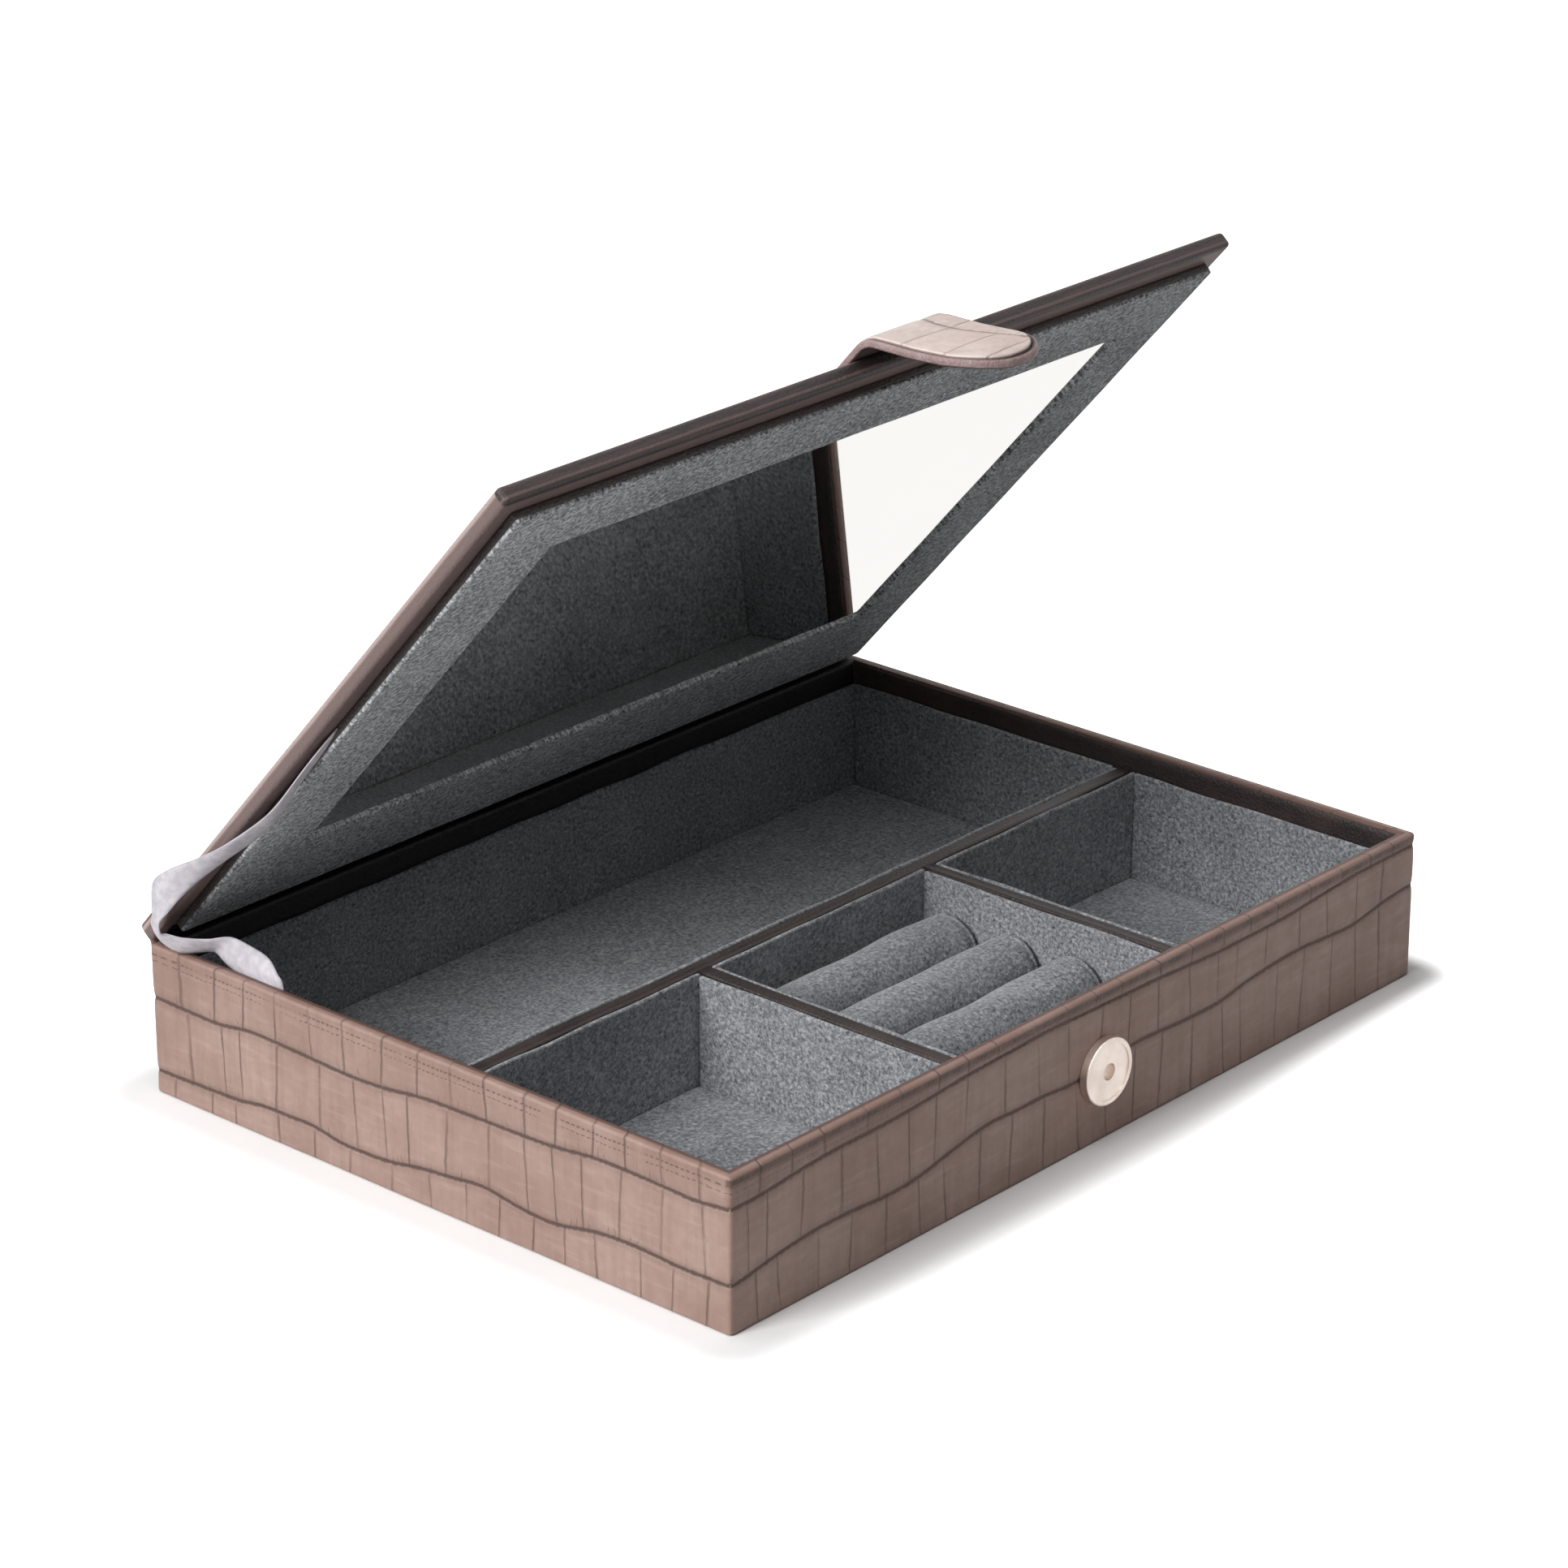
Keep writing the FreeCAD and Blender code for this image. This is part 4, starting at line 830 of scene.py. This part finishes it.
border = {"inner": (103.5, 64.5), "innerShift": (1.5, -4.5), "thickness": 1.0, "edge": 0.55}
border.update({"wave": 0.1, "steps": 16, "across": 22.0})
stations = loopStations(130, 92, 3)
thickness, edge, steps = border["thickness"], border["edge"], border["steps"]
outerU, outerV = (part[0] for part in loopPoints(stations, *panel["halves"], [0.8] * 4, [0.0]))
innerU, innerV = (part[0] for part in loopPoints(stations, *border["inner"], [0.5] * 4, [0.0]))
turns = np.linspace(0, math.pi / 2, 4)
lift = thickness - edge + edge * np.sin(turns)
inset = edge * (1 - np.cos(turns)) / border["across"]
shares = np.concatenate([[0.0], inset, np.linspace(0.06, 0.94, steps), 1 - inset[::-1], [1.0]])[:, None]
lifts = np.concatenate([[0.0], lift, np.full(steps, thickness), lift[::-1], [0.0]])[:, None]
u = outerU * (1 - shares) + (innerU + border["innerShift"][0]) * shares
v = outerV * (1 - shares) + (innerV + border["innerShift"][1]) * shares
swell = border["wave"] * (1 + smoothNoise(u, v, 71, 30)) * (lifts > 0.9 * thickness)
grid = onLid(u, v, panel["low"] - lifts + 0.5 * swell)
piece = makePiece("felt_frame_cover", grid, frameFeltPaintedLight, closeRows=True)
settle(piece, "lid", "felt", "felt_frame")
print("lid made")


# ---- strap
strap = {"x": 2.5, "half": 14.2, "rootStart": 162.0, "line": 197.6, "rise": 5.7, "bend": 46.0}
strap.update({"radius": 7.0, "free": 37.2, "sag": 0.15, "tipDrop": 1.6, "crown": 0.6, "tipRound": 13.4})
bend = math.radians(strap["bend"])
tangent = strap["radius"] * math.tan(bend / 2)
rootLength = strap["line"] - tangent - strap["rootStart"]
arcLength = strap["radius"] * bend
strapLength = rootLength + arcLength + strap["free"] - tangent
pathStep = 0.1
pathPlaces = np.arange(0, strapLength + 2 * pathStep, pathStep)
pathTurn = bend * np.clip((pathPlaces - rootLength) / arcLength, 0, 1)
pathY = -strap["rootStart"] - np.concatenate([[0], np.cumsum(np.cos(pathTurn[:-1]))]) * pathStep
pathZ = strap["rise"] - np.concatenate([[0], np.cumsum(np.sin(pathTurn[:-1]))]) * pathStep


def onStrap(u, v, n):
    # u runs along the strap's middle line, which lies on the lid, turns down over an arc and then
    # hangs free with a slight sag, drooping edges and a drooping tip. n is square to that line.
    spot = u + strapLength / 2
    free = np.clip((spot - rootLength - arcLength) / (strapLength - rootLength - arcLength), 0, 1)
    n = n - strap["sag"] * np.sin(math.pi * np.minimum(free * 1.02, 1)) ** 2
    n = n - strap["tipDrop"] * np.clip((free - 0.7) / 0.3, 0, 1) ** 2
    n = n - strap["crown"] * (v / strap["half"]) ** 2 * np.clip(free * 3, 0, 1)
    turn = np.interp(spot, pathPlaces, pathTurn)
    y = np.interp(spot, pathPlaces, pathY) - n * np.sin(turn)
    z = np.interp(spot, pathPlaces, pathZ) + n * np.cos(turn)
    return fromLid(np.stack([strap["x"] + v, y, z], -1))


backing = {"low": -1.3, "high": 0.85, "edge": 0.75, "grooveInset": 1.55, "groove": 0.3}
low, high, edge, groove = (backing[key] for key in ("low", "high", "edge", "groove"))
inner = np.linspace(strap["half"] - 0.1, 2.4, 8)
profile = [(inset, low) for inset in inner] + [(1.2, low)] + arcRows((edge, low + edge), edge, 270, 180, 5)
profile += arcRows((edge, high - edge), edge, 180, 90, 5) + [(1.15, high - 0.06), (1.4, high - 0.3)]
profile += [(backing["grooveInset"], groove), (2.2, groove)] + [(inset, groove) for inset in inner[::-1]]
profile = np.array(profile)
radii = [strap["tipRound"], 0.8, 0.8, strap["tipRound"]]
u, v, n = sweep(loopStations(76, 24, 10), strapLength / 2, strap["half"], radii, profile)
tone = np.stack([np.concatenate([n, n[:, :1]], 1), np.repeat(profile[:, :1], u.shape[1] + 1, 1)], -1)


def strapLeather(name):
    # Brown on the strap's edge, dark in the groove beside its face, partly as painted shade of that gap and
    # partly for its stitching, and dark brown underneath.
    paint = Paint(name)
    height, inset = paint.surfaceMap("tone")
    place = paint.place()
    grain = paint.cells(place, 1300)
    cloud = paint.noise(place, 300, 3, 0.6)
    colour = paint.mix(cloud.between(0.3, 0.7), linear(152, 132, 130), linear(134, 112, 110))
    colour = paint.mix(height.between(-0.55, -1.1), colour, linear(52, 40, 38))
    # partly painted shade: the groove beside the face is darkened for the shade in that gap, and partly for
    # the dark of its stitching
    colour = paint.mix(inset.between(0.6, 0.85) * height.between(0, 0.2), colour, linear(48, 30, 29))
    return paint.finish(colour, 0.42 + 0.15 * cloud, grain, 0.2, Specular_IOR_Level=0.45)


skin = strapLeather("strap_leather")
piece = makePiece("strap_backing", onStrap(u, v, n), skin, ends="bridge", maps={"tone": tone})
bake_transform(piece)
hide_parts("strap_lining", "strap_core")

strapFace = {"inset": 1.7, "low": 0.15, "high": 1.32, "edge": 0.4, "step": 0.8}
strapFace.update({"rowsPitch": 38.0, "grooves": 2, "fade": 0.8, "seed": 90})
tip = strap["tipRound"] - strapFace["inset"]
args = ((strapLength / 2, strap["half"]), [tip, 0.5, 0.5, tip], loopStations(110, 34, 14), onStrap, strapSkin)
piece = crocPlate("strap_face_skin", strapFace, *args)
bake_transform(piece)
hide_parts("strap_face", "strap_root", "strap_bend")
print("strap made:", round(strapLength, 1), "mm long")


# ---- hinge strips
strips = {"spacing": 0.45, "blur": 0.9, "sway": 1.4}
strips["grooves"] = ((9.0, 43), (27.0, 44))  # the place of each across the strip, and its seed


def stripPiece(name, path, thickness, halfX, material, step, embossed=False):
    # A strip bent over a path in Y and Z. Corners are rounded by averaging the path over a short
    # way, and half the thickness is laid square to it on either side.
    path = np.array(path, float)
    runs = np.concatenate([[0], np.cumsum(np.hypot(*np.diff(path, axis=0).T))])
    places = np.linspace(0, runs[-1], int(runs[-1] / strips["spacing"]) + 1)
    centre = 0
    for offset in np.linspace(-strips["blur"], strips["blur"], 9):
        spots = np.clip(places + offset, 0, runs[-1])
        centre = centre + np.stack([np.interp(spots, runs, part) for part in path.T], -1) / 9
    centre[0], centre[-1] = path[0], path[-1]
    along = np.gradient(centre, axis=0)
    along = along / np.hypot(*along.T)[:, None]
    square = np.stack([-along[:, 1], along[:, 0]], -1) * thickness / 2
    section = np.concatenate([centre + square, (centre - square)[::-1]])
    x = np.linspace(-halfX, halfX, int(2 * halfX / step) + 1)[:, None]
    grid = np.stack([part + 0 * x for part in (x + 0 * section[:, 0], *section.T)], -1)
    if not embossed:
        return makePiece(name, grid, material, ends="cap")
    across = np.concatenate([places, places[::-1], places[:1]]) + 0 * x
    along = x + halfX + 0 * across
    lines = [
        height + strips["sway"] * smoothNoise(along, 0 * along, seed, 50)
        for height, seed in strips["grooves"]
    ]
    creases = [np.array(randomPlaces(-14, 2 * halfX + 20, creasePitch, seed)) for seed in (45, 46, 47)]
    maps, _ = scalePattern(along, across, lines, creases)
    return makePiece(name, grid, material, ends="cap", maps=maps)


def lidPlace(y, z):
    return fromLid(np.array([0.0, y, z]))[1:].tolist()


spine = {"thickness": 0.6, "off": 0.05, "reach": 12.0, "halfX": 130.3, "start": 39.6, "end": 41.6}
middle = spine["off"] + spine["thickness"] / 2
top = lid["thickness"] + middle
path = [[halfDepth + middle, box["height"] - spine["reach"]], [halfDepth + middle, box["height"]]]
path += [lidPlace(middle, middle * math.tan(lidTurn / 2)), lidPlace(middle, top)]
path += [lidPlace(-spine["reach"], top)]
piece = stripPiece("hinge_spine_skin", path, spine["thickness"], spine["halfX"], crocSkin, 1.5, embossed=True)
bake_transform(piece)
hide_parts("hinge_spine")

liner = {"thickness": 0.25, "off": 0.05, "reach": 7.0, "halfX": 127.2, "lidEnd": 5.5, "wall": 92.1}
middle = liner["off"] + liner["thickness"] / 2
inside, rise = liner["wall"] - middle, box["height"] + middle
path = [[inside, box["height"] - liner["reach"]], [inside, rise], [halfDepth - 0.2, rise]]
path += [lidPlace(-middle, -middle), lidPlace(-liner["lidEnd"], -middle)]
piece = stripPiece("hinge_liner_skin", path, liner["thickness"], liner["halfX"], blackSkin, 4.0)
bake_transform(piece)
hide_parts("hinge_liner")

# ---- underside
sheet = {"edge": 0.25, "step": 9.0}
lowest, highest = nodeBox("bottom_sheet")
halves = (highest - lowest)[:2] / 2
profile = plateProfile(halves[1], (highest - lowest)[2], sheet["edge"], sheet["step"])
u, v, n = sweep(loopStations(40, 28, 2), *halves, [1.0] * 4, profile)
grid = np.stack([u, v, n + lowest[2]], -1)
piece = makePiece("bottom_sheet_cloth", grid, slotMaterials["underside_sheet"], ends="bridge")
settle(piece, "base", "underside_sheet", "bottom_sheet")

# ---- ribbon
ribbon = {"width": 10.0, "thickness": 0.3, "perStation": 7, "across": 9, "start": 44.0, "end": 60.0}
ribbon["slotInset"] = 4.1  # from the left side to where it goes down behind the card
ribbon["curl"] = 0.05  # how far its middle stands off the line between its edges, over its width
# Each station has the ribbon's two edges, as far out from the left side, as far forwards from the
# back and as far up from the frame's own height, in millimetres.
ribbonStations = [
    ("lid", (-5.0, 97.0, -0.5), (-8.0, 88.5, -0.5)),
    ("lid", (-1.5, 84.5, -2.0), (-5.0, 76.5, -2.0)),
    ("lid", (1.0, 71.0, -3.5), (-4.5, 63.5, -3.5)),
    ("lid", (1.0, 60.5, -2.5), (-4.0, 52.5, -3.0)),
    ("lid", (3.5, 48.5, -0.5), (-0.5, 40.5, -1.5)),
    ("lid", (4.5, 38.5, 2.5), (1.5, 31.5, -0.5)),
    ("lid", (5.5, 28.5, 6.0), (3.5, 24.5, -0.5)),
    ("lid", (5.0, 20.5, 7.0), (5.0, 19.5, -1.0)),
    ("lid", (4.0, 12.5, 2.5), (6.5, 16.0, -1.5)),
    ("lid", (3.0, 8.5, 1.0), (6.5, 14.0, -3.5)),
    ("rim", (1.5, 6.5, 3.0), (5.0, 12.5, 8.0)),
    ("rim", (-1.0, 10.5, 0.5), (2.5, 15.5, 7.0)),
    ("rim", (-5.0, 16.0, 1.0), (-1.0, 20.5, 7.0)),
    ("rim", (-5.0, 19.0, 1.5), (-4.0, 25.5, 8.0)),
    ("slot", (0.0, 23.0, 0.5), (-1.0, 31.5, 7.0)),
    ("slot", (0.0, 30.0, -2.5), (-0.5, 38.0, 6.0)),
    ("slot", (0.0, 32.5, -6.5), (0.0, 41.5, 3.0)),
    ("slot", (0.0, 33.0, -9.0), (0.0, 43.5, -0.5)),
    ("slot", (0.0, 33.0, -20.0), (0.0, 43.5, -16.0)),
]


def ribbonPoint(kind, place):
    out, forwards, up = place
    if kind == "lid":
        return fromLid(np.array([-halfWidth - out, -forwards, up]))
    side = halfWidth - (ribbon["slotInset"] if kind == "slot" else 0)
    return np.array([-side - out, halfDepth - forwards, box["height"] + up])


def throughPoints(points, share):
    # Catmull-Rom: the cubic through each point whose slope there is half the step past it.
    ends = np.concatenate([2 * points[:1] - points[1:2], points, 2 * points[-1:] - points[-2:-1]])
    base = np.minimum(share.astype(int), len(points) - 2)
    t = (share - base)[:, None]
    a, b, c, d = (ends[base + offset] for offset in range(4))
    return 0.5 * (2 * b + (c - a) * t + (2 * a - 5 * b + 4 * c - d) * t**2 + (3 * b - a - 3 * c + d) * t**3)


last = len(ribbonStations) - 1
share = np.linspace(0, last, ribbon["perStation"] * last + 1)
edges = [np.array([ribbonPoint(station[0], station[side]) for station in ribbonStations]) for side in (1, 2)]
left, right = (throughPoints(edge, share) for edge in edges)
chord = right - left
square = np.cross(np.gradient((left + right) / 2, axis=0), chord)
square = square / np.linalg.norm(square, axis=1)[:, None]
across = np.linspace(0, 1, ribbon["across"])
curl = ribbon["curl"] * np.linalg.norm(chord, axis=1)[:, None] * np.sin(math.pi * across)
grid = left[:, None] + chord[:, None] * across[:, None] + square[:, None] * curl[..., None]
runs = np.linalg.norm(np.diff(grid, axis=0), axis=2).mean(1)
along = np.concatenate([[0], np.cumsum(runs)])[:, None] + 0 * across
maps = {"weave": np.stack([along, across + 0 * along], -1)}
piece = makePiece("ribbon_stay_cloth", grid, slotMaterials["satin"], closeColumns=False, maps=maps)
solid = piece.modifiers.new("thickness", "SOLIDIFY")
solid.thickness, solid.offset = ribbon["thickness"] * mm, 0.0
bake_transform(piece)
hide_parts("ribbon_stay")

# ---- floor, lights and camera
studio = {"floorSize": 6.0, "floorColour": 0.7, "shownColour": 0.85, "liftStart": 0.006, "liftEnd": 0.028}
studio.update({"world": 0.06, "rightLift": 1.0, "reflected": (1.03, 1.02, 1.008, 1)})
lamps = {
    # where it hangs, its two sizes and its power
    "key_left": ((-1.45, 0.15, 0.88), (0.7, 0.7), 26.0),
    "top_soft": ((-0.2, 0.5, 1.6), (1.2, 1.2), 10.0),
    "front_soft": ((-0.35, -0.5, 1.6), (1.0, 1.0), 6.5),
    "right_fill": ((1.4, -1.2, 0.5), (1.0, 0.8), 0.3),
}
paint = Paint("studio_floor")
seen = paint.seen()
across, forwards, _ = paint.parts(paint.place())
past = [(abs(across) - halfWidth * mm).most(0.0), (abs(forwards) - halfDepth * mm).most(0.0)]
away = (past[0] * past[0] + past[1] * past[1]) ** 0.5
away = away * (1 + studio["rightLift"] * across.between(0.0, 1.2 * halfWidth * mm))
grey, white = ((tone, tone, tone, 1) for tone in (studio["floorColour"], studio["shownColour"]))
matt = paint.node("ShaderNodeBsdfDiffuse", {}, {"Color": paint.mix(seen, grey, white)})
lift = paint.mix(away.between(studio["liftStart"], studio["liftEnd"]), (0, 0, 0, 1), (1, 1, 1, 1))
glow = paint.node("ShaderNodeEmission", {}, {"Color": paint.mix(seen, (0, 0, 0, 1), lift)})
total = paint.node("ShaderNodeAddShader", {}, (matt, glow))
# In the mirror the open floor is an even off-white.
even = paint.node("ShaderNodeEmission", {}, {"Color": studio["reflected"]})
clear = paint.node("ShaderNodeLightPath", output="Is Glossy Ray")
clear = clear * away.between(studio["liftStart"], studio["liftEnd"])
total = paint.node("ShaderNodeMixShader", {}, (clear, total, even))
paint.node("ShaderNodeOutputMaterial", {}, {"Surface": total})
size = studio["floorSize"]
corners = [(-size, -size, 0), (size, -size, 0), (size, size, 0), (-size, size, 0)]
mesh = bpy.data.meshes.new("studio_floor")
mesh.from_pydata(corners, [], [(0, 1, 2, 3)])
mesh.materials.append(paint.owner)
floor = bpy.data.objects.new("studio_floor", mesh)
bpy.context.scene.collection.objects.link(floor)

scene = bpy.context.scene
paint = Paint("studio", world=True)
level = studio["world"] + (1 - studio["world"]) * paint.seen()
sky = paint.node("ShaderNodeBackground", {}, {"Color": (1, 1, 1, 1), "Strength": level})
paint.node("ShaderNodeOutputWorld", {}, {"Surface": sky})
scene.world = paint.owner

aim = Vector((0, 0, 0.05))
for name, (place, sizes, power) in lamps.items():
    lamp = bpy.data.lights.new(name, "AREA")
    lamp.shape, lamp.size, lamp.size_y, lamp.energy = "RECTANGLE", *sizes, power
    holder = bpy.data.objects.new(name, lamp)
    scene.collection.objects.link(holder)
    holder.location = place
    holder.rotation_euler = (aim - Vector(place)).to_track_quat("-Z", "Y").to_euler()

view = {"place": (-0.90404, -0.79848, 0.56880), "azimuth": -48.38, "elevation": 22.55, "roll": 0.04}
view.update({"sensorWidth": 36, "focalPixels": 6461.7, "imagePixels": 1932})
camera = bpy.data.cameras.new("camera")
camera.sensor_width = view["sensorWidth"]
camera.lens = view["sensorWidth"] * view["focalPixels"] / view["imagePixels"]
camera.clip_start, camera.clip_end = 0.01, 30
holder = bpy.data.objects.new("camera", camera)
scene.collection.objects.link(holder)
holder.location = view["place"]
turn = Matrix.Identity(4)
for angle, axis in ((view["azimuth"], "Z"), (90 - view["elevation"], "X"), (-view["roll"], "Z")):
    turn = turn @ Matrix.Rotation(math.radians(angle), 4, axis)
holder.rotation_euler = turn.to_euler()
scene.camera = holder
scene.view_settings.view_transform = "Standard"
print("floor, lights and camera set")
